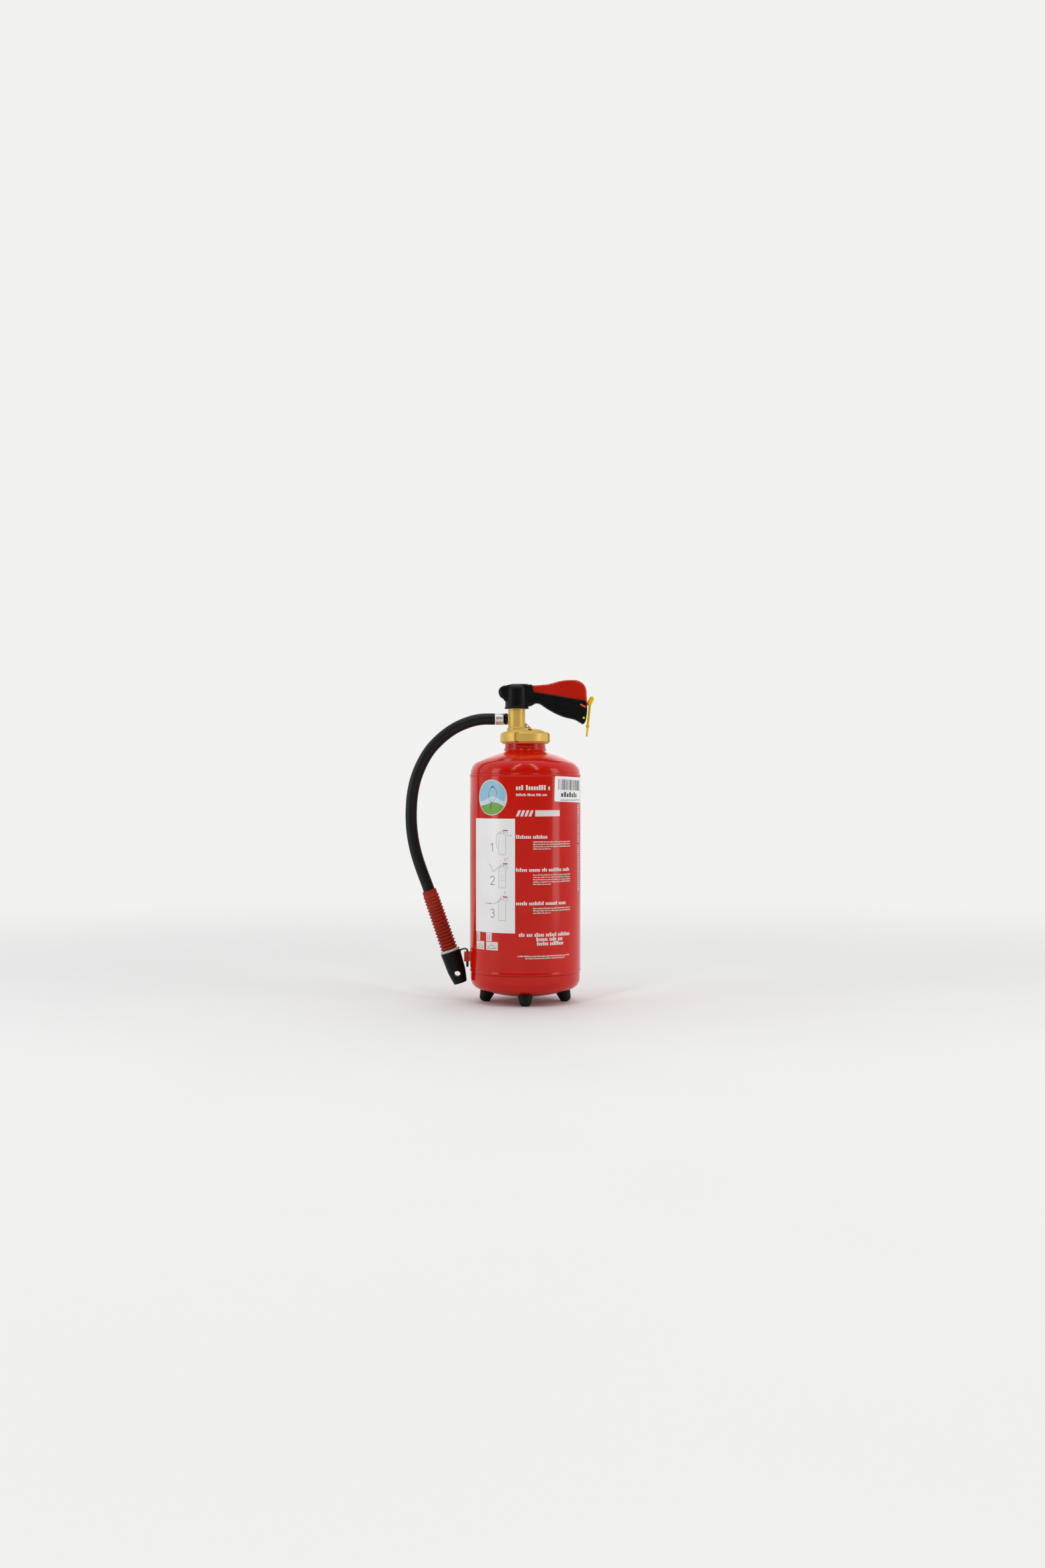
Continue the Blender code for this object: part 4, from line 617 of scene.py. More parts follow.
@dataclass
class Container:
    """The pressure container: body, dished ends, neck, feet and the nozzle's holder."""

    bench: Bench
    wall: float = 1.6
    bead: float = 0.5
    step: float = 0.8
    top_knuckle: float = 24.0
    top_crown: float = 165.0
    bottom_knuckle: float = 20.0
    bottom_crown: float = 250.0
    bottom_skirt: float = 10.5
    neck_r: float = 34.8
    neck_fillet: float = 6.0
    foot_radius: float = 71.0
    foot_splay: float = 18.9
    foot_length: float = 18.0

    def __post_init__(self) -> None:
        """Take the body's radius and height from the frame."""
        low, high = reach("container_jacket")
        self.radius = (high[0] - low[0]) / 2 - self.bead
        self.low, self.high = low[2], high[2]

    def build(self) -> None:
        """Make every piece of the container."""
        self.make_body()
        self.make_shoulder()
        self.make_base()
        self.make_neck()
        self.make_feet()
        self.make_holder()

    def make_body(self) -> None:
        """The rolled sheet: a straight wall with a weld bead beside each seam."""
        z = np.concatenate([np.linspace(self.low, self.low + 9, 30),
                            np.linspace(self.low + 12, self.high - 12, 24),
                            np.linspace(self.high - 9, self.high, 30)])
        beads = bump_at(z, self.low + 2.6, 1.5) + bump_at(z, self.high - 2.6, 1.5)
        ends = np.minimum(z - self.low, self.high - z)
        outside = self.radius + self.bead * beads - 0.45 * bump_at(ends, 0.0, 0.5)
        profile = path(np.column_stack([outside, z]), (self.radius - self.wall, self.high),
                       (self.radius - self.wall, self.low))
        self.bench.add("container_body", revolve(profile, 192), "red_paint", "extinguisher",
                       ("container_jacket",))

    def dish(self, knuckle: float, crown: float, shrink: float, end: float) -> Array:
        """A dished end as (radius, rise): a knuckle arc, then a crown arc that meets it in tangent."""
        outer = self.radius - self.step - shrink
        knuckle, crown = knuckle - shrink, crown - shrink
        centre = outer - knuckle
        meet = math.degrees(math.acos(centre / (crown - knuckle)))
        drop = math.sqrt((crown - knuckle) ** 2 - centre ** 2)
        last = math.degrees(math.acos(end / crown))
        return path(arc(centre, 0, knuckle, 0, meet, 26), arc(0, -drop, crown, meet, last, 26)[1:])

    def make_shoulder(self) -> None:
        """The top end, its skirt stepped in at the seam and its lip rising round the neck."""
        seam = self.high + 0.3
        lip = self.neck_r + 0.2
        foot = lip + 1.2 + self.neck_fillet
        outer = self.dish(self.top_knuckle, self.top_crown, 0.0, foot)
        inner = self.dish(self.top_knuckle, self.top_crown, self.wall, foot)
        rise = outer[-1, 1]
        fillet = arc(foot, rise + self.neck_fillet, self.neck_fillet, 270, 180, 14)
        joggle = self.radius - self.wall - 0.3
        edge = path((joggle, -8.0), (joggle, -0.1), (self.radius - self.step - 0.4, 0.0),
                    (self.radius - self.step - 0.1, 0.15))
        lip_top = arc(lip + 0.6, fillet[-1, 1], 0.6, 0, 180, 6)
        profile = path(edge, outer[1:], fillet[1:], lip_top, (lip, inner[-1, 1]), inner[::-1],
                       (joggle - self.wall, -8.0))
        profile[:, 1] += seam
        self.bench.add("container_shoulder", revolve(profile, 192), "red_paint", "extinguisher",
                       ("top_dome",))

    def make_base(self) -> None:
        """The bottom end, dished down to the pole."""
        seam = self.low - 0.3
        outer = self.dish(self.bottom_knuckle, self.bottom_crown, 0.0, 0.0) + [0, self.bottom_skirt]
        inner = self.dish(self.bottom_knuckle, self.bottom_crown, self.wall, 0.0) + [0, self.bottom_skirt]
        joggle = self.radius - self.wall - 0.3
        edge = path((joggle, -8.0), (joggle, -0.1), (self.radius - self.step - 0.4, 0.0),
                    (self.radius - self.step, 0.3))
        profile = path(outer[::-1], edge[::-1], (joggle - self.wall, -8.0), (joggle - self.wall, 0.0), inner)
        profile = np.column_stack([np.where(profile[:, 0] < 1e-4, 0.0, profile[:, 0]),
                                   seam - profile[:, 1]])
        self.bench.add("container_base", revolve(profile, 192), "red_paint", "extinguisher",
                       ("bottom_dome",))

    def make_neck(self) -> None:
        """The threaded collar, with the faint ring that the paint shows round the neck."""
        low, high = reach("neck_collar")
        nut_low = reach("union_nut")[0][2]
        z = np.linspace(low[2] + 7, nut_low - 0.4, 24)
        ring = 0.35 * bump_at(z, nut_low - 4.5, 0.9)
        pitch = 1.5
        thread_z = np.arange(nut_low + 0.6, high[2] - 0.4, pitch / 6)
        thread = 36.1 + 0.45 * np.cos(TAU * thread_z / pitch)
        profile = path((29.3, low[2]), (37.6, low[2]), (37.6, low[2] + 4), (34.8, low[2] + 4),
                       np.column_stack([self.neck_r + ring, z]), np.column_stack([thread, thread_z]),
                       (35.6, high[2]), (29.3, high[2]))
        self.bench.add("neck_fitting", revolve(profile, 128), "red_paint", "extinguisher",
                       ("neck_collar",))

    def make_feet(self) -> None:
        """Four rubber feet, each a rounded cone under a painted boss that flares into the base."""
        splay = math.radians(self.foot_splay)
        length = self.foot_length
        for index, name in enumerate(("right", "back", "left", "front")):
            turn = TAU * index / 4
            out = np.array([math.cos(turn), math.sin(turn), 0.0])
            up = -out * math.sin(splay) + np.array([0, 0, math.cos(splay)])
            place = standing(tuple(out * self.foot_radius), tuple(up))
            tip = arc(3.2, 6.6, 6.6, -90, -14, 14)
            rim = arc(11.8, length - 0.8, 0.8, -10, 90, 6)
            cap = path((0, 0), tip, rim, (5.2, length), (5.2, length - 9), (0, length - 9))
            rubber = self.bench.raw(f"foot_{name}", revolve(cap, 56).moved(place))
            ground = slab(path((-200, -40), (200, -40), (200, 0), (-200, 0)), 200.0, 0.0, 1)
            self.bench.carve(rubber, [ground])
            self.bench.place(rubber, "black_rubber", "extinguisher", (f"foot_cap_{name}",))
            flare = path((12.0, length + 0.3), (12.4, length + 0.9), (12.9, length + 2.2),
                         (14.0, length + 5.5))
            boss = path((0, 9.6), (4.6, 9.6), (4.6, length + 0.3), flare, (0, length + 5.5))
            self.bench.add(f"foot_boss_{name}", revolve(boss, 56).moved(place), "red_paint",
                           "extinguisher", (f"foot_stud_{name}",))

    def make_holder(self) -> None:
        """The painted lug that the nozzle's tongue hangs in, open through its middle."""
        low, high = reach("nozzle_holder")
        axis = self.bench.axis_x / MM
        x0, x1 = low[0] - axis, high[0] - axis
        outline = softened(path((x0, low[2]), (x1, low[2]), (x1, high[2]), (x0, high[2])), 0.35, 0.7)
        lug = self.bench.raw("nozzle_holder_lug", slab(outline, high[1], 1.0))
        slot_x, half_x, half_y = -99.6, 2.5, 5.0
        slot = slab(path((slot_x - half_x, low[2] - 5), (slot_x + half_x, low[2] - 5),
                         (slot_x + half_x, high[2] + 5), (slot_x - half_x, high[2] + 5)), half_y, 0.0, 1)
        notch = slab(path((x1 - 3.6, low[2] + 6.5), (x1 - 1.6, low[2] + 6.5), (x1 - 1.6, low[2] + 9.4),
                          (x1 - 3.6, low[2] + 9.4)), 30.0, 0.0, 1)
        self.bench.carve(lug, [slot, notch])
        self.bench.place(lug, "red_paint", "extinguisher", ("nozzle_holder",))


@dataclass
class ValveHead:
    """The brass valve under its union nut, with the hose outlet."""

    bench: Bench
    tower_x: float = -14.7
    tower_r: float = 14.7
    outlet_z: float = 485.5
    slots: int = 4
    slot_turn: float = -21.0
    slot_w: float = 6.4
    slot_depth: float = 3.0

    def build(self) -> None:
        """Make the nut, the body and the outlet's pieces."""
        self.make_nut()
        self.make_body()
        self.make_outlet()

    def make_nut(self) -> None:
        """The union nut: radius less a soft-edged slot at four places below its lip."""
        low, high = reach("union_nut")
        radius, z0, z1 = high[1], low[2], high[2]
        chamfer, lip = 3.8, z1 - 2.0
        edge = 0.7
        outside = path((radius - chamfer - edge, z0 + 0.05), (radius - chamfer, z0 + 0.2),
                       (radius - edge * 0.5, z0 + chamfer - 0.5), (radius, z0 + chamfer + edge))
        rise = np.linspace(z0 + chamfer + 1.4, z1 - chamfer - 1.4, 24)
        upper = path((radius, z1 - chamfer - edge), (radius - edge * 0.5, z1 - chamfer + 0.5),
                     (radius - chamfer, z1 - 0.2), (radius - chamfer - edge, z1 - 0.05))
        outside = even(path(outside, np.column_stack([np.full_like(rise, radius), rise]), upper), 0.42, False)
        profile = path(outside, (33.6, z1 - 0.05), (33.2, z1 - 0.4), (33.2, lip), (37.0, lip), (37.0, z0))

        def cut(turn: Array, height: Array) -> Array:
            """The slots' depth: a smooth step across the angle times one below the lip."""
            lead = math.radians(self.slot_turn - 90)
            across = (turn - lead + math.pi / self.slots) % (TAU / self.slots) - math.pi / self.slots
            side = np.clip((self.slot_w / 2 + 0.25 - np.abs(across) * radius) / 0.5, 0, 1)
            top = np.clip((lip - 0.1 - height) / 0.5, 0, 1)
            return -self.slot_depth * side * top * (height > z0 - 1)

        def outer_only(turn: Array, height: Array) -> Array:
            """Apply the slots to the outside rows and leave the bore."""
            rows = np.arange(len(profile))[:, None] < len(outside)
            return np.where(rows, np.maximum(cut(turn, height), -self.slot_depth), 0.0)

        body = revolve(profile, 900, outer_only)
        self.bench.add("union_ring", body, "brass", "extinguisher", ("union_nut",))
        turn = math.radians(self.slot_turn)
        place = np.eye(4)
        place[:2, :2] = [[math.cos(turn), -math.sin(turn)], [math.sin(turn), math.cos(turn)]]
        front = -(radius - self.slot_depth)
        drop = softened(path((-2.9, z0 + 1.2), (2.9, z0 + 1.2), (3.0, z0 + 3.6), (0.6, z0 + 4.5),
                             (-2.9, z0 + 3.7)), 0.3, 0.4)
        blot = slab(drop, 0.9, 0.6, 3)
        blot.points[:, 1] += front
        self.bench.add("lacquer_seal_nut", blot.moved(place), "lacquer", "extinguisher")

    def make_body(self) -> None:
        """The casting: a low dome, the offset tower, the hose boss and a drilled web."""
        low, high = reach("valve_body")
        base_r, dome_low, dome_high = 32.8, 463.7, 470.0
        rise = np.radians(np.linspace(0, 82, 18))
        dome = np.column_stack([base_r * np.cos(rise), dome_low + (dome_high - dome_low) * np.sin(rise)])
        profile = path((0, low[2]), (28.9, low[2]), (28.9, 458.9), (36.0, 458.9), (36.0, 461.0),
                       (base_r, 461.0), dome, (0, dome_high))
        body = self.bench.raw("valve_casting", revolve(profile, 128))
        foot = arc(self.tower_r + 2.2, dome_high + 1.8, 2.2, 270, 180, 8)
        tower = revolve(path((0, 459.5), (self.tower_r + 2.2, 459.5), foot, (self.tower_r, high[2] - 0.5),
                             (self.tower_r - 0.5, high[2]), (0, high[2])), 112)
        tower = tower.moved(standing((self.tower_x, 0, 0), (0, 0, 1)))
        boss = revolve(path((0, 2), (10.2, 2), (10.2, self.tower_r - 0.5), (9.8, self.tower_r + 0.1),
                            (0, self.tower_r + 0.1)), 72)
        outlet = standing((self.tower_x, 0, self.outlet_z), (-1, 0, 0))
        web = softened(path((-4.7, 464.0), (12.2, 464.0), (10.2, 470.4), (-0.5, 480.0), (-4.7, 480.0)),
                       0.5, 0.8)
        self.bench.carve(body, [tower, boss.moved(outlet), slab(web, 1.6, 0.5)], "UNION")
        hole = revolve(path((0, 0), (1.3, 0), (1.3, 20), (0, 20)), 32)
        pocket = revolve(path((0, 0), (7.6, 0), (7.6, 20), (0, 20)), 64)
        bore = revolve(path((0, -2), (6.3, -2), (6.3, 40), (0, 40)), 48)
        self.bench.carve(body, [
            hole.moved(standing((3.6, -10, 473.2), (0, 1, 0))),
            pocket.moved(standing((self.tower_x, 0, 503.0), (0, 0, 1))), bore.moved(outlet),
        ])
        self.bench.place(body, "brass", "extinguisher", ("valve_body",))
        drop = softened(path((3.8, 0.0), (10.2, 0.0), (11.4, 3.0), (5.4, 4.4)), 0.3, 0.35)
        blot = slab(drop, 0.6, 0.4, 3)
        lean = math.radians(52.0)
        y, z = blot.points[:, 1].copy(), blot.points[:, 2].copy()
        blot.points[:, 1] = y * math.cos(lean) + z * math.sin(lean) - 30.9
        blot.points[:, 2] = z * math.cos(lean) - y * math.sin(lean) + 465.6
        self.bench.add("lacquer_seal_base", blot, "lacquer", "extinguisher")

    def make_outlet(self) -> None:
        """The black nipple, the rolled ferrule over the hose's end and the relief plug."""
        outward = standing((0, 0, self.outlet_z), (-1, 0, 0))
        start, end = 31.0, 37.2
        low, high = 34.9, 36.1
        collar = path((6.0, 20.0), (6.0, start), (9.5, start), (9.9, start + 0.4), (9.9, low - 0.3),
                      (9.6, low), (8.6, low), (8.6, high), (9.6, high), (9.9, high + 0.3),
                      (9.9, end - 0.3), (9.6, end), (6.0, end), (6.0, 51.1), (4.0, 51.1), (4.0, 20.0))
        self.bench.add("outlet_fitting", revolve(collar, 96).moved(outward), "black_plastic",
                       "extinguisher", ("outlet_nipple",))
        z = np.linspace(37.5, 51.3, 60)
        crimp = 0.07 * (bump_at(z, 41.0, 0.8) + bump_at(z, 44.4, 0.8) + bump_at(z, 47.8, 0.8))
        lip = 0.35 * bump_at(z, 37.5, 0.5) + 0.45 * bump_at(z, 51.3, 0.5)
        band = path(np.column_stack([10.2 - crimp - lip, z]), (9.2, 51.3), (6.3, 50.9), (6.3, 37.5))

        def jaws(turn: Array, height: Array) -> Array:
            """Eight shallow flats from the crimping jaws."""
            flats = 0.035 * np.cos(8 * turn) * bump_at(height, 44.4, 4.5)
            return flats - 0.03

        self.bench.add("crimped_ferrule", revolve(band, 160, jaws).moved(outward), "aluminium",
                       "extinguisher", ("hose_ferrule",))
        rear = standing((self.tower_x, 0, self.outlet_z), (0, 1, 0))
        head = self.tower_r + 0.4

        def hexagon(turn: Array, height: Array) -> Array:
            """A hexagon's flats on the plug's head."""
            wedge = (turn + math.pi / 6) % (math.pi / 3) - math.pi / 6
            return np.where(height > head - 0.01, 6.2 * math.cos(math.pi / 6) / np.cos(wedge) - 6.2, 0.0)

        plug = path((0, 8.4), (4.0, 8.4), (4.0, head - 0.1), (6.2, head), (6.2, head + 4.2),
                    (5.4, head + 4.8), (3.6, head + 4.8), (3.4, head + 3.6), (0, head + 3.6))
        self.bench.add("relief_plug", revolve(plug, 120, hexagon).moved(rear), "brass", "extinguisher",
                       ("relief_valve",))


@dataclass
class HoseSet:
    """The hose with its grip, ring and nozzle. The route's points are in metres from the axis."""

    bench: Bench
    hose_r: float = 9.9
    length_m: float = 0.494
    route_m: tuple[tuple[float, float], ...] = (
        (-0.0520, 0.4855), (-0.0754, 0.4850), (-0.0952, 0.4808), (-0.1172, 0.4718), (-0.1358, 0.4598),
        (-0.1540, 0.4436), (-0.1683, 0.4260), (-0.1809, 0.4026), (-0.1896, 0.3785), (-0.1946, 0.3530),
        (-0.1964, 0.3253), (-0.1956, 0.2990), (-0.1920, 0.2730), (-0.1862, 0.2490), (-0.1775, 0.2230),
        (-0.1659, 0.1919), (-0.1480, 0.1396), (-0.1312, 0.0904),
    )
    grip_top: tuple[float, float] = (-165.7, 190.7)
    grip_bottom: tuple[float, float] = (-130.5, 89.2)
    ribs: int = 17
    cuff: float = 8.0
    root_r: float = 12.2
    tip: tuple[float, float] = (-111.3, 31.4)
    tongue_x: float = -99.6
    tongue_end: float = 59.2

    def build(self) -> None:
        pieces = [self.make_grip(), self.make_ring(), self.make_nozzle()]
        self.make_hose()

    def along(self, start: tuple[float, float], end: tuple[float, float]) -> tuple[Array, float]:
        """A frame from one (x, z) point towards another, and the distance between them."""
        step = (end[0] - start[0], 0.0, end[1] - start[1])
        return standing((start[0], 0.0, start[1]), step), math.hypot(step[0], step[2])

    def make_hose(self) -> None:
        """The rubber hose, swept round its smooth route from the valve to the nozzle."""
        fine = even(curve_through(np.array(self.route_m) / MM, 16), 2.0, False)
        tube = sweep(fine, self.hose_r, self.hose_r, 2.0, 40)
        hose = self.bench.add("rubber_hose", tube, "hose_rubber", None, ("hose",))
        axis = self.bench.axis_x
        route = [(x * MM + axis, 0.0, z * MM) for x, z in fine]
        self.grip_top[0] * MM + axis
        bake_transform(hose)

    def make_grip(self) -> bpy.types.Object:
        """The ribbed sleeve: radius = root + rib height times a power of a squared sine."""
        frame, length = self.along(self.grip_top, self.grip_bottom)
        s = np.linspace(self.cuff, length, self.ribs * 14 + 1)
        wave = np.sin(math.pi * (s - self.cuff) * self.ribs / (length - self.cuff)) ** 2
        wave = wave ** 0.75
        tips = np.linspace(13.9, 15.3, len(s))
        ribbed = self.root_r - 0.2 + (tips - self.root_r) * wave
        cuff = path((10.4, 0.0), (11.2, 0.0), arc(11.4, 0.9, 0.9, -90, 0, 5), (12.25, self.cuff - 1.0))
        profile = path(cuff, np.column_stack([ribbed, s]), (10.4, length))
        return self.bench.add("ribbed_grip", revolve(profile, 80).moved(frame), "grip_rubber", "nozzle",
                              ("grip",))

    def make_ring(self) -> bpy.types.Object:
        """The white ring between the grip and the nozzle, with rounded edges."""
        frame, length = self.along(self.grip_top, self.grip_bottom)
        low, high, radius, edge = length + 0.3, length + 4.5, 17.0, 1.1
        profile = path((10.4, low), arc(radius - edge, low + edge, edge, -90, 0, 8),
                       arc(radius - edge, high - edge, edge, 0, 90, 8), (10.4, high))
        return self.bench.add("ring_collar", revolve(profile, 96).moved(frame), "white_plastic", "nozzle",
                              ("grip_ring",))

    def make_nozzle(self) -> bpy.types.Object:
        """The nozzle: a barrel that tapers twice, its air holes, and the hooked tongue."""
        grip_frame, grip_length = self.along(self.grip_top, self.grip_bottom)
        top = grip_frame @ np.array([0, 0, grip_length + 4.8, 1.0])
        frame, length = self.along((top[0], top[2]), self.tip)
        outside = path((16.2, 0.0), (17.0, 0.35), (17.3, 1.2), (17.1, 6.0), (16.6, 14.0),
                       (15.7, length * 0.56), (15.0, length * 0.66), (13.4, length * 0.82),
                       (11.6, length - 1.6), (11.1, length - 0.6), (10.7, length))
        outside = curve_through(outside, 6)
        bore = path((8.6, length), (8.0, length - 1.0), (8.0, length - 40.0), (5.5, length - 40.0),
                    (5.5, length - 42.4), (10.4, length - 42.4), (10.4, 0.0))
        nozzle = self.bench.raw("jet_nozzle", revolve(path(outside, bore), 112).moved(frame))
        x = self.tongue_x
        strap = curve_through(np.array([(top[0] + 13.2, top[2] + 1.0), (top[0] + 18.0, 88.6),
                                        (x - 6.0, 89.9), (x - 2.4, 89.8), (x - 0.2, 88.0), (x, 84.5)]), 8)
        down = np.column_stack([np.full(20, x), np.linspace(82.0, self.tongue_end, 20)])
        route = even(path(strap, down), 0.9, False)
        fall = np.clip((88.0 - route[:, 1]) / 6.0, 0, 1)
        hook = sweep(route, 1.2 + 0.8 * fall, 4.5, 7.0, 32)
        web = softened(path((top[0] + 10, top[2] - 12), (top[0] + 17.2, top[2] - 9), (top[0] + 18.6, 88.4),
                            (top[0] + 12.0, top[2] + 1.6)), 0.5, 0.8)
        self.bench.carve(nozzle, [hook, slab(web, 2.0, 0.6)], "UNION", 38.0)
        step = np.array([self.tip[0] - top[0], self.tip[1] - top[2]])
        centre = np.array(self.tip) - step / np.linalg.norm(step) * 17.0
        hole = revolve(path((0, -30), (5.3, -30), (5.3, 30), (0, 30)), 64)
        dish = revolve(path((0, 0), (5.3, 0), (6.6, 2.6), (0, 2.6)), 64)
        tools = [hole.moved(standing((centre[0], 0, centre[1]), (0, 1, 0)))]
        for side in (-1, 1):
            tools.append(dish.moved(standing((centre[0], side * 11.4, centre[1]), (0, side, 0))))
        self.bench.carve(nozzle, tools, "DIFFERENCE", 38.0)
        self.bench.place(nozzle, "black_plastic", "nozzle", ("nozzle",))
        return nozzle


@dataclass
class HandGroup:
    """The black cover and handle, the red lever and the yellow safety clip."""

    bench: Bench
    cover_r: float = 19.75
    hood_stations: tuple[tuple[float, float, float, float], ...] = (
        (-45.8, 528.2, 531.0, 4.0), (-45.4, 526.0, 533.4, 6.5), (-44.4, 523.8, 536.0, 8.6),
        (-42.6, 521.8, 538.6, 11.2), (-40.0, 520.3, 540.9, 12.2), (-36.0, 518.8, 543.2, 12.5),
        (-31.0, 515.0, 545.0, 12.6), (-26.0, 512.0, 545.8, 12.7), (-14.7, 509.0, 546.1, 12.9),
        (-4.0, 506.5, 546.0, 13.1), (5.5, 507.0, 545.6, 13.5), (10.0, 509.4, 545.3, 13.6),
        (14.8, 511.6, 544.9, 13.5),
    )
    handle_half: float = 13.6
    handle_wall: float = 2.1
    lever_half: float = 11.0
    lever_start: float = 9.0
    lever_top: tuple[tuple[float, float], ...] = (
        (13.4, 543.2), (30.5, 544.3), (42.9, 546.3), (57.6, 550.3), (68.5, 552.1), (79.6, 552.6),
        (87.6, 552.4), (94.3, 550.0), (100.1, 545.9), (103.7, 540.8), (105.3, 534.9), (106.1, 523.2),
    )
    handle_under: tuple[tuple[float, float], ...] = (
        (99.0, 476.4), (92.8, 480.1), (86.9, 483.6), (79.6, 485.7), (72.2, 487.3), (64.9, 489.5),
        (57.6, 492.4), (50.3, 495.7), (42.9, 499.8), (35.6, 504.1), (28.3, 509.3), (23.2, 511.8),
        (15.1, 512.4),
    )

    def build(self) -> None:
        """Make every piece of the group."""
        self.make_cover()
        self.make_handle()
        self.make_lever()
        self.make_clip()

    def make_cover(self) -> None:
        """The cap: a domed round housing joined to a nose over the pivot and a hood."""
        low = reach("head_cover")[0][2]
        x0 = -14.7
        here = standing((x0, 0, 0), (0, 0, 1))
        skirt = path((0, low), (20.3, low), (20.9, low + 0.6), (20.9, low + 2.2), (20.4, low + 3.0),
                     (19.95, low + 3.9), (self.cover_r, low + 5.2), (self.cover_r, 520.0))
        dome = arc(0, 0, 1.0, 0, 90, 30) * [self.cover_r, 10.0] + [0, 536.3]
        cover = self.bench.raw("head_housing", revolve(path(skirt, dome[:-1], (0, 546.3)), 128).moved(here))
        self.bench.carve(cover, [self.hood(0.0, 0.0)], "UNION")
        inner = arc(0, 0, 1.0, 0, 90, 20) * [self.cover_r - 1.6, 8.6] + [0, 536.1]
        room = revolve(path((0, 495), (15.0, 495), (15.0, 513.7), (18.1, 513.7), inner[:-1],
                            (0, inner[-1, 1])), 96)
        self.bench.carve(cover, [room.moved(here), self.hood(1.6, 6.0)])
        self.bench.place(cover, "black_plastic", "extinguisher", ("head_cover",))

    def hood(self, inset: float, beyond: float) -> Surface:
        """The nose and the hood: rounded sections carried from the nose's tip to the lever.

        Args:
            inset: How far inside the outer skin the surface runs.
            beyond: How far it goes on past the hood's end.

        Returns:
            A closed surface whose section at x reaches from the lower to the upper curve and has
            its own half width, each interpolated between stations and then inset.
        """
        x, low, high, wide = np.array(self.hood_stations).T
        first, last = x[0] + inset, x[-1] + beyond
        at = np.concatenate([first + 3.0 * np.linspace(0, 1, 9)[:-1] ** 2,
                             np.linspace(first + 3.0, last - 0.8, 64),
                             last - 0.8 * np.linspace(1, 0, 6)[1:] ** 2])
        rim = np.clip((last - at) / 0.8, 0, 1)
        shrink = 0.8 * (1 - np.sqrt(1 - (1 - rim) ** 2)) + inset
        low, high, wide = (np.interp(at, x, run) for run in (low, high, wide))
        route = np.column_stack([at, (low + high) / 2])
        return sweep(route, (high - low) / 2 - shrink, wide - shrink, 6.0, 56)

    def make_handle(self) -> None:
        """The handle: a channel with rounded edges, its floor following the hand."""
        rear = np.array([(102.5, 517.2), (104.9, 514.9), (106.1, 511.5), (106.5, 505.0), (106.4, 498.0),
                         (105.5, 490.9), (104.1, 482.9), (101.5, 477.7), (99.0, 476.4)])
        under = curve_through(np.array(self.handle_under), 5)
        outline = path((7.0, 533.3), curve_through(rear, 5), under[1:-1], (14.0, 511.9), (7.0, 512.6))
        shell = self.bench.raw("handle_body", slab(softened(outline, 0.6, 0.6), self.handle_half, 2.6, 6))
        lifted = under[5:] + [0, self.handle_wall * 1.12]
        cavity = path((-4.0, 545.0), (125.0, 545.0), (125.0, 484.0), (104.0, 481.4), lifted,
                      (-4.0, lifted[-1, 1]))
        self.bench.carve(shell, [slab(cavity, self.handle_half - self.handle_wall, 0.0, 1)])
        pill = self.pill(11.6 + 0.6, 3.5)
        for side in (-1, 1):
            recess = slab(pill, 0.8, 0.0, 1).moved(standing((0, side * self.handle_half, 0), (0, 0, 1)))
            self.bench.carve(shell, [recess])
        self.bench.place(shell, "black_plastic", "extinguisher", ("handle_shell",))
        for side, name in ((-1, "front"), (1, "back")):
            inlay = slab(self.pill(11.6, 2.9), 0.45, 0.25, 3)
            place = standing((0, side * (self.handle_half - 0.4), 0), (0, 0, 1))
            self.bench.add(f"inlay_{name}", inlay.moved(place), "orange_plastic", "extinguisher",
                           (f"indicator_{name}",))
        half = self.handle_half
        knob = path((0, -half - 0.9), arc(0, -half, 2.0, -70, 0, 8), (1.9, half),
                    arc(0, half, 2.0, 0, 70, 8), (0, half + 0.9))
        knob[:, 1] = np.clip(knob[:, 1], -half - 0.8, half + 0.8)
        pin = revolve(path((0, -half - 0.8), knob[1:-1], (0, half + 0.8)), 40)
        self.bench.add("rivet_pin", pin.moved(standing((100.3, 0, 487.1), (0, 1, 0))), "yellow_plastic",
                       "extinguisher", ("seal_rivet",))

    @staticmethod
    def pill(length: float, width: float) -> Array:
        """The slanted pill shape of the inlay, as an outline on the handle's side."""
        reach_x = (length - width) / 2
        flat = path(arc(reach_x, 0, width / 2, -90, 90, 12), arc(-reach_x, 0, width / 2, 90, 270, 12))
        turn = math.radians(-28.0)
        rotation = np.array([[math.cos(turn), math.sin(turn)], [-math.sin(turn), math.cos(turn)]])
        return flat @ rotation + [99.2, 507.9]

    def make_lever(self) -> None:
        """The lever: a glossy crowned shell, open below, slotted behind for the clip's bit."""
        top = curve_through(np.array(self.lever_top), 6)
        outline = path((self.lever_start, 542.6), top, (106.5, 509.5), (self.lever_start, 527.0))
        dense = softened(outline, 0.6, 0.5)
        lever = self.bench.raw("squeeze_lever", slab(dense, self.lever_half, 4.2, 9))
        inner = top + np.where(top[:, :1] > 88, [-1.4, -1.2], [0.0, -1.9])
        inner[:, 0] = np.minimum(inner[:, 0], 104.4)
        cavity = path((0.0, inner[0, 1] - 0.6), inner[1:], (104.6, 500.0), (0.0, 500.0))
        slot = path((97.0, 495.0), (120.0, 495.0), (120.0, 533.0), (97.0, 533.0))
        self.bench.carve(lever, [slab(cavity, self.lever_half - 1.9, 0.0, 1), slab(slot, 4.5, 0.0, 1)])
        self.bench.place(lever, "red_plastic", "lever", ("lever_shell",))

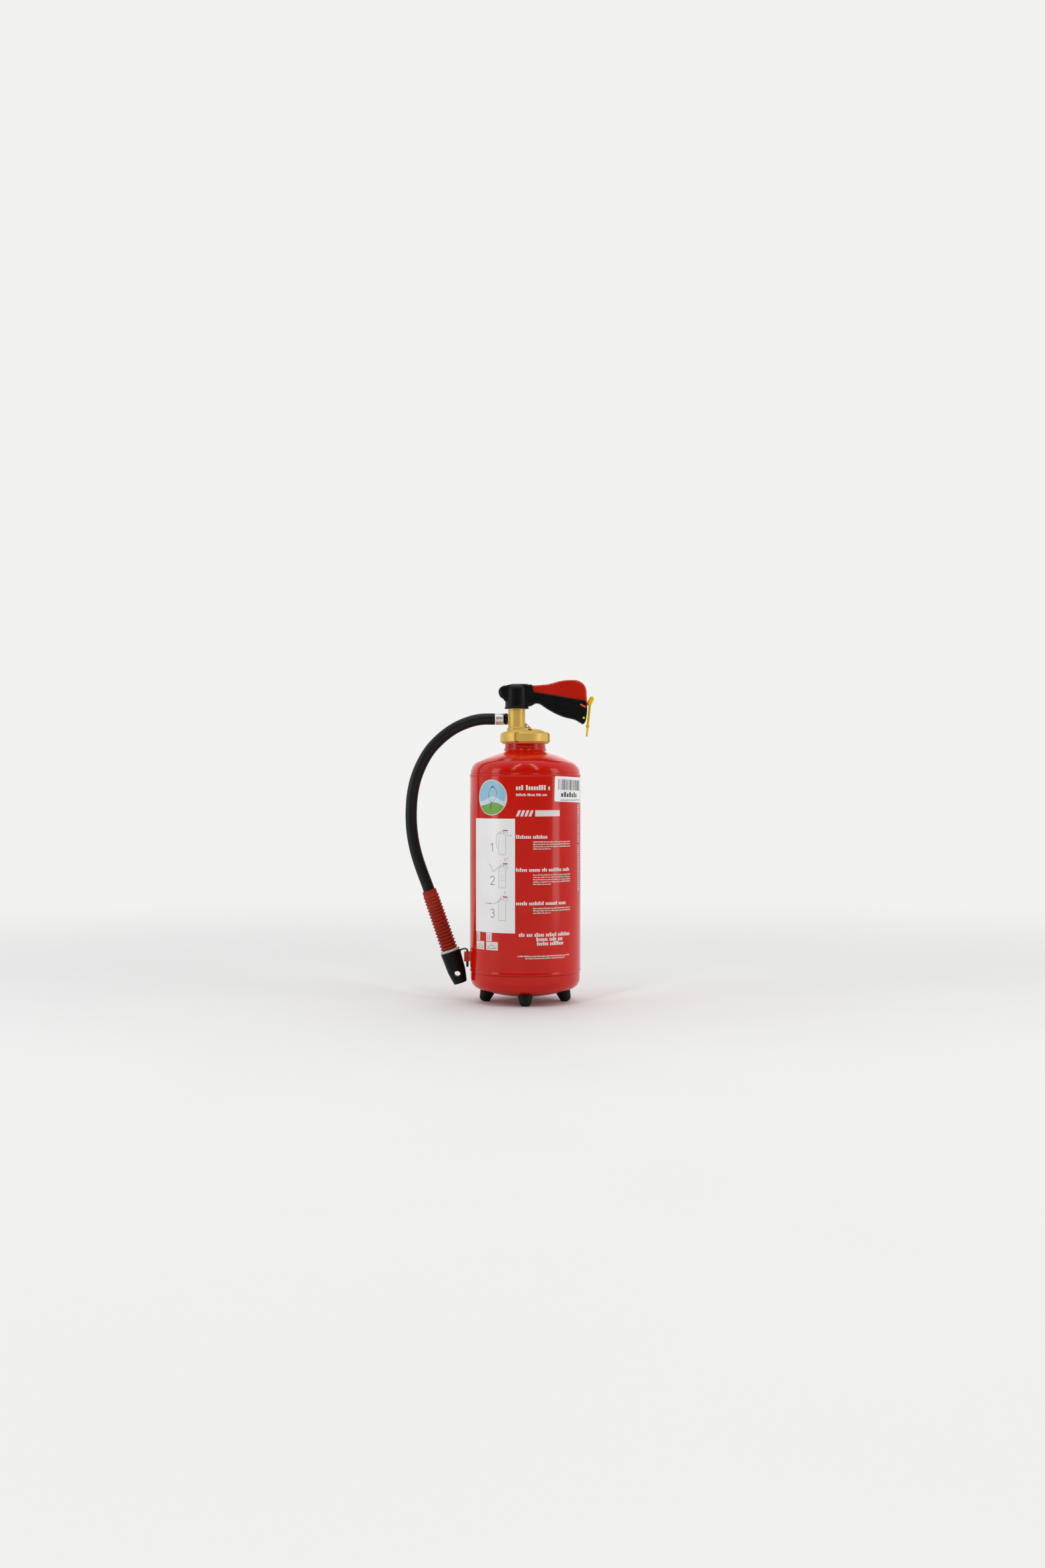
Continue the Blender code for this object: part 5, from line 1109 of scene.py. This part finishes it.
    def make_clip(self) -> None:
        """The safety clip: a tilted knob, the bit that locks the lever and a tapering pull strap."""
        tilt = math.radians(90 - 27.0)
        reach_x = (17.5 - 8.2) / 2
        flat = path(arc(reach_x, 0, 4.1, -90, 90, 24), arc(-reach_x, 0, 4.1, 90, 270, 24))
        rotation = np.array([[math.cos(tilt), math.sin(tilt)], [-math.sin(tilt), math.cos(tilt)]])
        knob = even(flat @ rotation + [112.5, 516.3], 0.5, True)
        clip = self.bench.raw("safety_pin_clip", slab(knob, 4.2, 2.4, 7))
        route = np.array([(111.8, 514.5), (111.0, 505.0), (109.6, 492.0), (108.2, 480.0), (107.5, 474.0),
                          (107.3, 470.5), (106.6, 463.0), (105.8, 455.2)])
        fine = even(curve_through(route, 10), 0.6, False)
        barb = bump_at(fine[:, 1], 472.6, 2.2)
        tail = np.clip((471.0 - fine[:, 1]) / 1.5, 0, 1)
        thick = 2.0 - 0.35 * tail + 1.5 * barb * (fine[:, 1] > 470.2)
        strap = sweep(fine, thick, 1.2, 5.0, 28)
        bit = softened(path((101.5, 513.4), (109.5, 513.4), (109.5, 515.6), (101.5, 515.6)), 0.25, 0.25)
        self.bench.carve(clip, [strap, slab(bit, 3.0, 0.4, 3)], "UNION", 40.0)
        self.bench.place(clip, "yellow_plastic", "safety", ("safety_clip",))


# --- Labels and prints ----------------------------------------------------------------------

@dataclass
class Press:
    """Prints flat shapes onto the round body. Places are (arc length from the front, height)."""

    bench: Bench
    radius: float
    inks: dict[str, list[Surface]] = field(default_factory=dict)
    seed: int = 11

    def __post_init__(self) -> None:
        """Start the draw of word lengths."""
        self.random = np.random.default_rng(self.seed)

    def wrapped(self, left: Array, right: Array, lift: float, thick: float) -> Surface:
        """Wrap the strip between two edges round the body as a closed skin.

        Args:
            left: One edge's (s, z) points.
            right: The other edge's, as many.
            lift: The skin's inner side above the body's radius.
            thick: Its thickness.

        Returns:
            The skin, where a point (s, z) at radius r goes to (r sin(s/R), -r cos(s/R), z).
        """
        inner, outer = self.radius + lift, self.radius + lift + thick

        def onto(edge: Array, r: float) -> Array:
            """Carry an edge onto a cylinder."""
            turn = edge[:, 0] / self.radius
            return np.column_stack([r * np.sin(turn), -r * np.cos(turn), edge[:, 1]])

        rows = np.stack([onto(left, inner), onto(left, outer), onto(right, outer), onto(right, inner)], 1)
        return lattice(rows, False, True, caps=True)

    def strip(self, ink: str, left: Array, right: Array, lift: float = 0.04) -> None:
        """Add a strip between two edges to an ink."""
        self.inks.setdefault(ink, []).append(self.wrapped(left, right, lift, 0.05))

    def bar(self, ink: str, s0: float, z0: float, s1: float, z1: float, lift: float = 0.04) -> None:
        """Add an upright rectangle, in columns no wider than 2.5 mm."""
        s = np.linspace(s0, s1, max(2, int(abs(s1 - s0) / 2.5) + 2))
        self.strip(ink, np.column_stack([s, np.full_like(s, z0)]),
                   np.column_stack([s, np.full_like(s, z1)]), lift)

    def stroke(self, ink: str, points: Array, width: float, lift: float = 0.04, closed: bool = False) -> None:
        """Add a line of some width along a run of points."""
        line = even(points, 0.8, False) if not closed else even(path(points, points[0]), 0.8, False)
        slope = np.gradient(line, axis=0)
        slope /= np.maximum(np.linalg.norm(slope, axis=1, keepdims=True), 1e-9)
        normal = np.column_stack([-slope[:, 1], slope[:, 0]]) * width / 2
        self.strip(ink, line + normal, line - normal, lift)

    def disc(self, ink: str, s: float, z: float, radius: float, lift: float) -> None:
        """Add a round patch."""
        turn = np.linspace(0.04, math.pi - 0.04, 40)
        x = s - radius * np.cos(turn)
        half = radius * np.sin(turn)
        self.strip(ink, np.column_stack([x, z - half]), np.column_stack([x, z + half]), lift)

    def words(self, ink: str, s0: float, s1: float, z: float, height: float, lift: float = 0.04) -> None:
        """Add a line of stand-in writing: blocks of letter width in words of random length."""
        s = s0
        letter = height * 0.52
        while s < s1 - letter:
            for _ in range(int(self.random.integers(3, 9))):
                if s > s1 - letter:
                    break
                tall = self.random.random() < 0.28
                top = z + height * (1.0 if tall else 0.72)
                self.bar(ink, s, z, s + letter * 0.72, top, lift)
                s += letter
            s += letter * 0.8

    def finish(self, prefix: str, body: str) -> None:
        """Make one object for each ink."""
        for ink, parts in self.inks.items():
            self.bench.add(f"{prefix}_{ink}", Surface.joined(parts), ink, body)
        self.inks = {}


@dataclass
class Labels:
    """The instruction panel, the round sticker, the inventory tag and the prints on the paint."""

    bench: Bench
    radius: float

    def __post_init__(self) -> None:
        """Set up the press."""
        self.press = Press(self.bench, self.radius)

    def build(self) -> None:
        """Make every label and print."""
        self.make_panel()
        self.make_sticker()
        self.make_tag()
        self.make_prints()
        self.press.finish("print", "extinguisher")

    def s_of(self, degrees: float) -> float:
        """Arc length at an angle from the front."""
        return self.radius * math.radians(degrees)

    def film(self, name: str, left: Array, right: Array, node: str) -> None:
        """Make the film of a label, which stands for its node."""
        skin = self.press.wrapped(left, right, 0.02, 0.16)
        self.bench.add(name, skin, "label_film", "extinguisher", (node,))

    def rounded(self, s0: float, s1: float, z0: float, z1: float, corner: float) -> tuple[Array, Array]:
        """A rounded rectangle as two edges: its low and high sides along s."""
        s = np.concatenate([s0 + corner * (1 - np.cos(np.linspace(0.06, math.pi / 2, 10))),
                            np.linspace(s0 + corner, s1 - corner, 40)[1:-1],
                            s1 - corner * (1 - np.cos(np.linspace(math.pi / 2, 0.06, 10)))])
        near = np.minimum(s - s0, s1 - s)
        drop = corner - np.sqrt(np.maximum(corner ** 2 - np.maximum(corner - near, 0) ** 2, 0))
        return np.column_stack([s, z0 + drop]), np.column_stack([s, z1 - drop])

    def make_panel(self) -> None:
        """The white panel with three numbered steps in line drawings."""
        s0, s1 = self.s_of(-61.3), self.s_of(-10.4)
        self.film("instruction_panel", *self.rounded(s0, s1, 124.5, 315.7, 0.6), "instruction_label")
        for step, base in enumerate((255.4, 200.1, 145.3), start=1):
            self.numeral(step, s0 + 43.0, base + 5.0)
            self.drawing(step, s0 + 62.0, base)

    def numeral(self, digit: int, s: float, z: float) -> None:
        """One of the digits 1 to 3, drawn as strokes 14 mm high."""
        shapes = {
            1: [path((-3.4, 10.4), (0.4, 14.0), (0.4, 0.0))],
            2: [path(arc(0, 10.0, 4.0, 170, -20, 16), (-4.2, 0.0), (4.4, 0.0))],
            3: [path(arc(-0.2, 10.4, 3.5, 150, -80, 14), arc(-0.2, 3.9, 4.0, 80, -150, 16))],
        }
        for shape in shapes[digit]:
            self.press.stroke("claret_ink", shape + [s, z], 1.15, 0.2)

    def drawing(self, step: int, s: float, z: float) -> None:
        """A small line drawing of an extinguisher, with its hose as the step needs it."""
        press = self.press
        body = softened(path((-6.3, 0), (6.3, 0), (6.3, 32), (2.0, 35.5), (-2.0, 35.5), (-6.3, 32)), 0.5, 1.0)
        place = np.array([s, z])
        press.stroke("grey_ink", body + place, 0.45, 0.2, closed=True)
        press.stroke("grey_ink", path((-2.4, 35.5), (-2.4, 39.5), (2.4, 39.5), (2.4, 35.5)) + place, 0.4, 0.2)
        press.stroke("grey_ink", path((2.4, 38.0), (9.0, 36.0), (9.6, 31.8)) + place, 0.5, 0.2)
        lift = 1.4 if step < 3 else 0.3
        press.stroke("claret_ink", path((1.6, 40.4), (9.8, 38.9 + lift)) + place, 1.8, 0.2)
        hoses = {
            1: path((-2.4, 37.5), (-9.5, 34.5), (-11.5, 24.0), (-9.0, 10.0)),
            2: path((-2.4, 37.5), (-12.0, 30.5), (-17.5, 27.0), (-21.0, 34.0), (-25.5, 40.0)),
            3: path((-2.4, 37.5), (-8.0, 31.5), (-15.0, 28.2), (-22.0, 28.0)),
        }
        press.stroke("grey_ink", curve_through(hoses[step], 8) + place, 0.7, 0.2)
        if step == 1:
            press.stroke("claret_ink", path((12.0, 31.8), (16.0, 31.8)) + place, 0.5, 0.2)
            press.stroke("claret_ink", path((14.4, 33.2), (16.2, 31.8), (14.4, 30.4)) + place, 0.4, 0.2)
            return
        press.stroke("grey_ink", path((5.0, 50.0), (5.0, 45.6)) + place, 0.45, 0.2)
        press.stroke("grey_ink", path((3.8, 46.9), (5.0, 45.4), (6.2, 46.9)) + place, 0.4, 0.2)
        if step == 2:
            press.stroke("grey_ink", path((9.0, 45.6), (9.0, 50.0)) + place, 0.45, 0.2)
            press.stroke("grey_ink", path((7.8, 48.8), (9.0, 50.2), (10.2, 48.8)) + place, 0.4, 0.2)
            for row in (12.0, 16.0, 20.0):
                press.stroke("grey_ink", path((-4.4, row), (4.4, row)) + place, 0.25, 0.2)
            return
        press.stroke("claret_ink", path((-22.0, 28.0), (-27.0, 28.2)) + place, 1.2, 0.2)
        for slope in (-1.2, 0.0, 1.2):
            press.stroke("grey_ink", path((-28.0, 28.2 + slope * 0.3), (-35.5, 28.2 + slope * 1.6)) + place,
                         0.3, 0.2)

    def make_sticker(self) -> None:
        """The round sticker: sky over a meadow, with a plain leaf."""
        s, z, r = self.s_of(-36.7), 351.0, 30.0
        turn = np.linspace(0.03, math.pi - 0.03, 48)
        x, half = s - r * np.cos(turn), r * np.sin(turn)
        self.film("sticker_film", np.column_stack([x, z - half]), np.column_stack([x, z + half]),
                  "round_sticker")
        press = self.press
        press.disc("rim_ink", s, z, r - 0.6, 0.19)
        press.disc("sky_ink", s, z, r - 1.4, 0.22)
        inner = r - 1.4
        x = s + np.linspace(-inner * 0.985, inner * 0.985, 48)
        chord = np.sqrt(inner ** 2 - (x - s) ** 2)
        hill = z - 9.0 - 0.010 * (x - s) ** 2 + 1.4 * np.sin((x - s) / 7.0)
        hill = np.clip(hill, z - chord + 0.02, z + chord)
        above = np.maximum(z + chord, hill + 0.04)
        haze = np.clip(hill + 9.0 + 1.6 * np.cos((x - s) / 6.0), hill + 0.02, above)
        press.strip("haze_ink", np.column_stack([x, hill]), np.column_stack([x, haze]), 0.25)
        press.strip("meadow_ink", np.column_stack([x, z - chord]), np.column_stack([x, hill]), 0.25)
        t = np.linspace(0.02, 0.98, 30)
        width = 8.6 * np.sin(math.pi * t) ** 0.8
        spine = z - 10.0 + 30.0 * t
        bend = s + 3.0 * np.sin(2.2 * t)
        press.strip("leaf_ink", np.column_stack([bend - width, spine]),
                    np.column_stack([bend + width, spine]), 0.28)
        press.stroke("leaf_ink", path((s - 1.0, z - 20.0), (s - 0.6, z - 8.0)), 1.5, 0.28)
        press.stroke("rim_ink", np.column_stack([bend, spine])[3:-3], 0.5, 0.31)
        for share in (0.25, 0.4, 0.55, 0.7):
            at = int(share * 29)
            for side in (-1, 1):
                rib = path((bend[at], spine[at]), (bend[at] + side * width[at] * 0.7, spine[at] + 3.2))
                press.stroke("rim_ink", rib, 0.3, 0.31)

    def make_tag(self) -> None:
        """The inventory tag: a rounded white film with a row of bars, set a little askew."""
        s0, s1 = self.s_of(31.0), self.s_of(81.0)
        z0, z1 = 343.0, 385.5
        low, high = self.rounded(s0, s1, z0, z1, 3.0)

        def askew(edge: Array) -> Array:
            """Turn an edge by two degrees about the tag's middle."""
            lean = math.radians(-2.0)
            middle = np.array([(s0 + s1) / 2, (z0 + z1) / 2])
            turn = np.array([[math.cos(lean), math.sin(lean)], [-math.sin(lean), math.cos(lean)]])
            return (edge - middle) @ turn + middle

        self.film("tag_film", askew(low), askew(high), "inventory_sticker")
        rng = np.random.default_rng(5)
        s = s0 + 7.5
        while s < s1 - 8.0:
            width = float(rng.choice([0.7, 1.1, 1.7, 2.3]))
            ink = "violet_ink" if s < s0 + 26 else "black_ink"
            edge = np.array([[s, z1 - 22.5], [s + width / 2, z1 - 22.5], [s + width, z1 - 22.5]])
            self.press.strip(ink, askew(edge), askew(edge + [0, 17.5]), 0.2)
            s += width + float(rng.choice([0.8, 1.3, 2.0]))
        for index in range(7):
            left = s0 + 14.0 + index * 6.6
            tall = 6.0 + 2.4 * (index % 2)
            edge = np.array([[left, z0 + 8.2], [left + 4.4, z0 + 8.2]])
            self.press.strip("black_ink", askew(edge), askew(edge + [0, tall]), 0.21)
        self.press.words("grey_ink", s0 + 12, s1 - 6, z0 + 2.4, 2.4, 0.2)

    def make_prints(self) -> None:
        """The white prints on the paint: lines of stand-in writing and two class signs."""
        press, ink = self.press, "white_ink"
        press.words(ink, -15.6, 47.0, 363.4, 8.4)
        press.words(ink, -15.6, 39.0, 353.6, 4.2)
        for index in range(4):
            lean = path((-15.6, 319.6), (-11.6, 329.8)) + [index * 7.0, 0]
            press.strip(ink, lean, lean + [4.4, 0])
        press.bar(ink, 16.6, 319.6, 62.0, 329.8)
        for top, right, rows in ((282.4, 44.0, 4), (227.4, 88.0, 5), (171.6, 78.0, 3)):
            press.words(ink, -15.6, right, top, 6.2)
            for row in range(rows):
                end = 88.0 if row < rows - 1 else 45.0
                press.words(ink, 13.0, end, top - 6.4 - row * 3.9, 2.1)
        press.words(ink, -10.8, 86.0, 119.0, 6.6)
        press.words(ink, 18.5, 70.0, 111.6, 6.6)
        press.words(ink, 19.5, 74.0, 104.2, 6.6)
        press.words(ink, -13.0, 86.0, 85.4, 2.3)
        press.words(ink, 0.0, 74.0, 81.8, 2.3)
        for row in range(46):
            if row != 20:
                press.words(ink, 114.0, 126.0, 336.0 - row * 3.2, 1.7)
        press.words(ink, -98.5, -78.0, 95.4, 1.7)
        self.class_sign(-99.5, 95.0, 22.0)
        self.class_sign(-72.5, 95.0, 24.5)

    def class_sign(self, s: float, z: float, width: float) -> None:
        """A sign in two white fields, with a flame and a hearth in red lines."""
        press = self.press
        press.bar("white_ink", s, z + 15.0, s + width * 0.5, z + 29.0)
        press.bar("white_ink", s, z, s + width, z + 14.0)
        for offset in (0.16, 0.32):
            flame = path((0, 17.0), (-1.0, 20.0), (0.2, 23.0), (-0.3, 26.0))
            press.stroke("claret_ink", curve_through(flame, 5) + [s + width * offset, z], 0.8, 0.09)
        logs = path((width * 0.16, 4.0), (width * 0.5, 9.5), (width * 0.84, 4.0))
        press.stroke("claret_ink", logs + [s, z], 0.7, 0.09)
        press.stroke("claret_ink", path((width * 0.12, 3.0), (width * 0.88, 3.0)) + [s, z], 0.7, 0.09)


# --- Camera, light and floor ----------------------------------------------------------------

@dataclass(frozen=True)
class Softbox:
    """A soft studio light, aimed at the object's middle."""

    name: str
    place: tuple[float, float, float]
    size: tuple[float, float]
    watts: float
    tint: Colour = (1.0, 0.985, 0.96)

    def hang(self, target: tuple[float, float, float]) -> None:
        """Make the light and turn it towards a point."""
        data = bpy.data.lights.new(self.name, "AREA")
        data.shape = "RECTANGLE"
        data.size, data.size_y = self.size
        data.energy = self.watts
        data.color = self.tint
        lamp = bpy.data.objects.new(self.name, data)
        lamp.matrix_world = aimed(self.place, target)
        bpy.context.scene.collection.objects.link(lamp)


def aimed(place: tuple[float, float, float], target: tuple[float, float, float]) -> Matrix:
    """A matrix at a place with its -Z towards a target and its Y up."""
    back = np.subtract(place, target) / np.linalg.norm(np.subtract(place, target))
    side = np.cross((0.0, 0.0, 1.0), back)
    side = side / np.linalg.norm(side) if np.linalg.norm(side) > 1e-6 else np.array([1.0, 0.0, 0.0])
    matrix = np.eye(4)
    matrix[:3, :3] = np.column_stack([side, np.cross(back, side), back])
    matrix[:3, 3] = place
    return Matrix(matrix.tolist())


@dataclass
class Studio:
    """The camera at eye level before the object, soft lights and a pale floor."""

    axis_x: float
    camera_offset: float = -0.0047
    camera_distance: float = 2.84
    camera_height: float = 0.3736
    lens: float = 37.85
    sensor: float = 36.0

    def make_camera(self) -> None:
        """A level camera that looks along +Y."""
        data = bpy.data.cameras.new("view")
        data.lens = self.lens
        data.sensor_width = self.sensor
        data.clip_end = 60.0
        camera = bpy.data.objects.new("view", data)
        x = self.axis_x + self.camera_offset
        camera.matrix_world = aimed((x, -self.camera_distance, self.camera_height),
                                    (x, 0.0, self.camera_height))
        bpy.context.scene.collection.objects.link(camera)
        bpy.context.scene.camera = camera

    def light(self) -> None:
        """Lamps above and softboxes at the sides, in a room that is paler behind the object."""
        middle = (0.0, 0.0, 0.30)
        for box in (
            Softbox("ceiling_left", (-0.75, -1.5, 2.5), (0.14, 2.6), 13.0),
            Softbox("ceiling_right", (0.75, -1.5, 2.5), (0.14, 2.6), 13.0),
            Softbox("left_window", (-2.2, -1.0, 0.8), (0.7, 2.0), 13.0, (0.97, 0.985, 1.0)),
            Softbox("right_window", (2.2, -1.0, 0.8), (0.7, 2.0), 13.0),
            Softbox("rear_fill", (0.3, 2.4, 1.4), (1.8, 1.4), 6.0),
        ):
            box.hang(middle)
        world = bpy.data.worlds.new("surround")
        world.use_nodes = True
        nodes, links = world.node_tree.nodes, world.node_tree.links
        nodes["Background"].inputs["Color"].default_value = (0.90, 0.905, 0.89, 1.0)
        nodes["Background"].inputs["Strength"].default_value = 0.98
        fill = nodes.new("ShaderNodeBackground")
        fill.inputs["Color"].default_value = (0.97, 0.98, 1.0, 1.0)
        sky = nodes.new("ShaderNodeTexCoord")
        parts = nodes.new("ShaderNodeSeparateXYZ")
        links.new(sky.outputs["Generated"], parts.inputs[0])
        rear = nodes.new("ShaderNodeMapRange")
        rear.interpolation_type = "SMOOTHSTEP"
        for index, value in enumerate((-0.80, 0.30, 0.03, 1.05), start=1):
            rear.inputs[index].default_value = value
        links.new(parts.outputs[1], rear.inputs[0])
        links.new(rear.outputs[0], fill.inputs["Strength"])
        seen = nodes.new("ShaderNodeLightPath")
        blend = nodes.new("ShaderNodeMixShader")
        links.new(seen.outputs["Is Camera Ray"], blend.inputs[0])
        links.new(fill.outputs[0], blend.inputs[1])
        links.new(nodes["Background"].outputs[0], blend.inputs[2])
        links.new(blend.outputs[0], nodes["World Output"].inputs["Surface"])
        bpy.context.scene.world = world
        bpy.context.scene.view_settings.view_transform = "Standard"

    def lay_floor(self) -> None:
        """A wide pale floor with a faint mottle, which turns into the surround's colour far away."""
        corners = np.array([(-30, -30, 0), (30, -30, 0), (30, 30, 0), (-30, 30, 0)], float)
        mesh = bpy.data.meshes.new("floor")
        mesh.from_pydata(corners.tolist(), [], [[0, 1, 2, 3]])
        floor = bpy.data.objects.new("floor", mesh)
        shader = Shader("floor_finish")
        tone = shader.mix(shader.noise(3.0, 4.0), (0.80, 0.80, 0.785), (0.76, 0.76, 0.745))
        shader.feed(shader.surface.inputs["Base Color"], tone)
        shader.surface.inputs["Roughness"].default_value = 0.8
        away = (shader.axis(0) * shader.axis(0) + shader.axis(1) * shader.axis(1)).power(0.5)
        seen = Value(shader, shader.node("ShaderNodeLightPath").outputs["Is Camera Ray"])
        glow = shader.node("ShaderNodeEmission", {}, {0: (0.90, 0.905, 0.89, 1.0), 1: 0.98})
        both = shader.node("ShaderNodeMixShader", {}, {0: away.ramp(0.35, 2.6) * seen,
                                                       1: shader.surface.outputs[0], 2: glow.outputs[0]})
        shader.links.new(both.outputs[0], shader.nodes["Material Output"].inputs["Surface"])
        mesh.materials.append(shader.material)
        bpy.context.scene.collection.objects.link(floor)


def main() -> None:
    """Build the looks around the frame, in order."""
    logging.basicConfig(level=logging.INFO, format="%(name)s: %(message)s")
    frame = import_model()
    bench = Bench(frame)
    studio = Studio(bench.axis_x)
    studio.make_camera()
    HoseSet(bench).build()
    container = Container(bench)
    container.build()
    ValveHead(bench).build()
    HandGroup(bench).build()
    Labels(bench, container.radius).build()
    studio.light()
    studio.lay_floor()


if __name__ == "__main__":
    main()
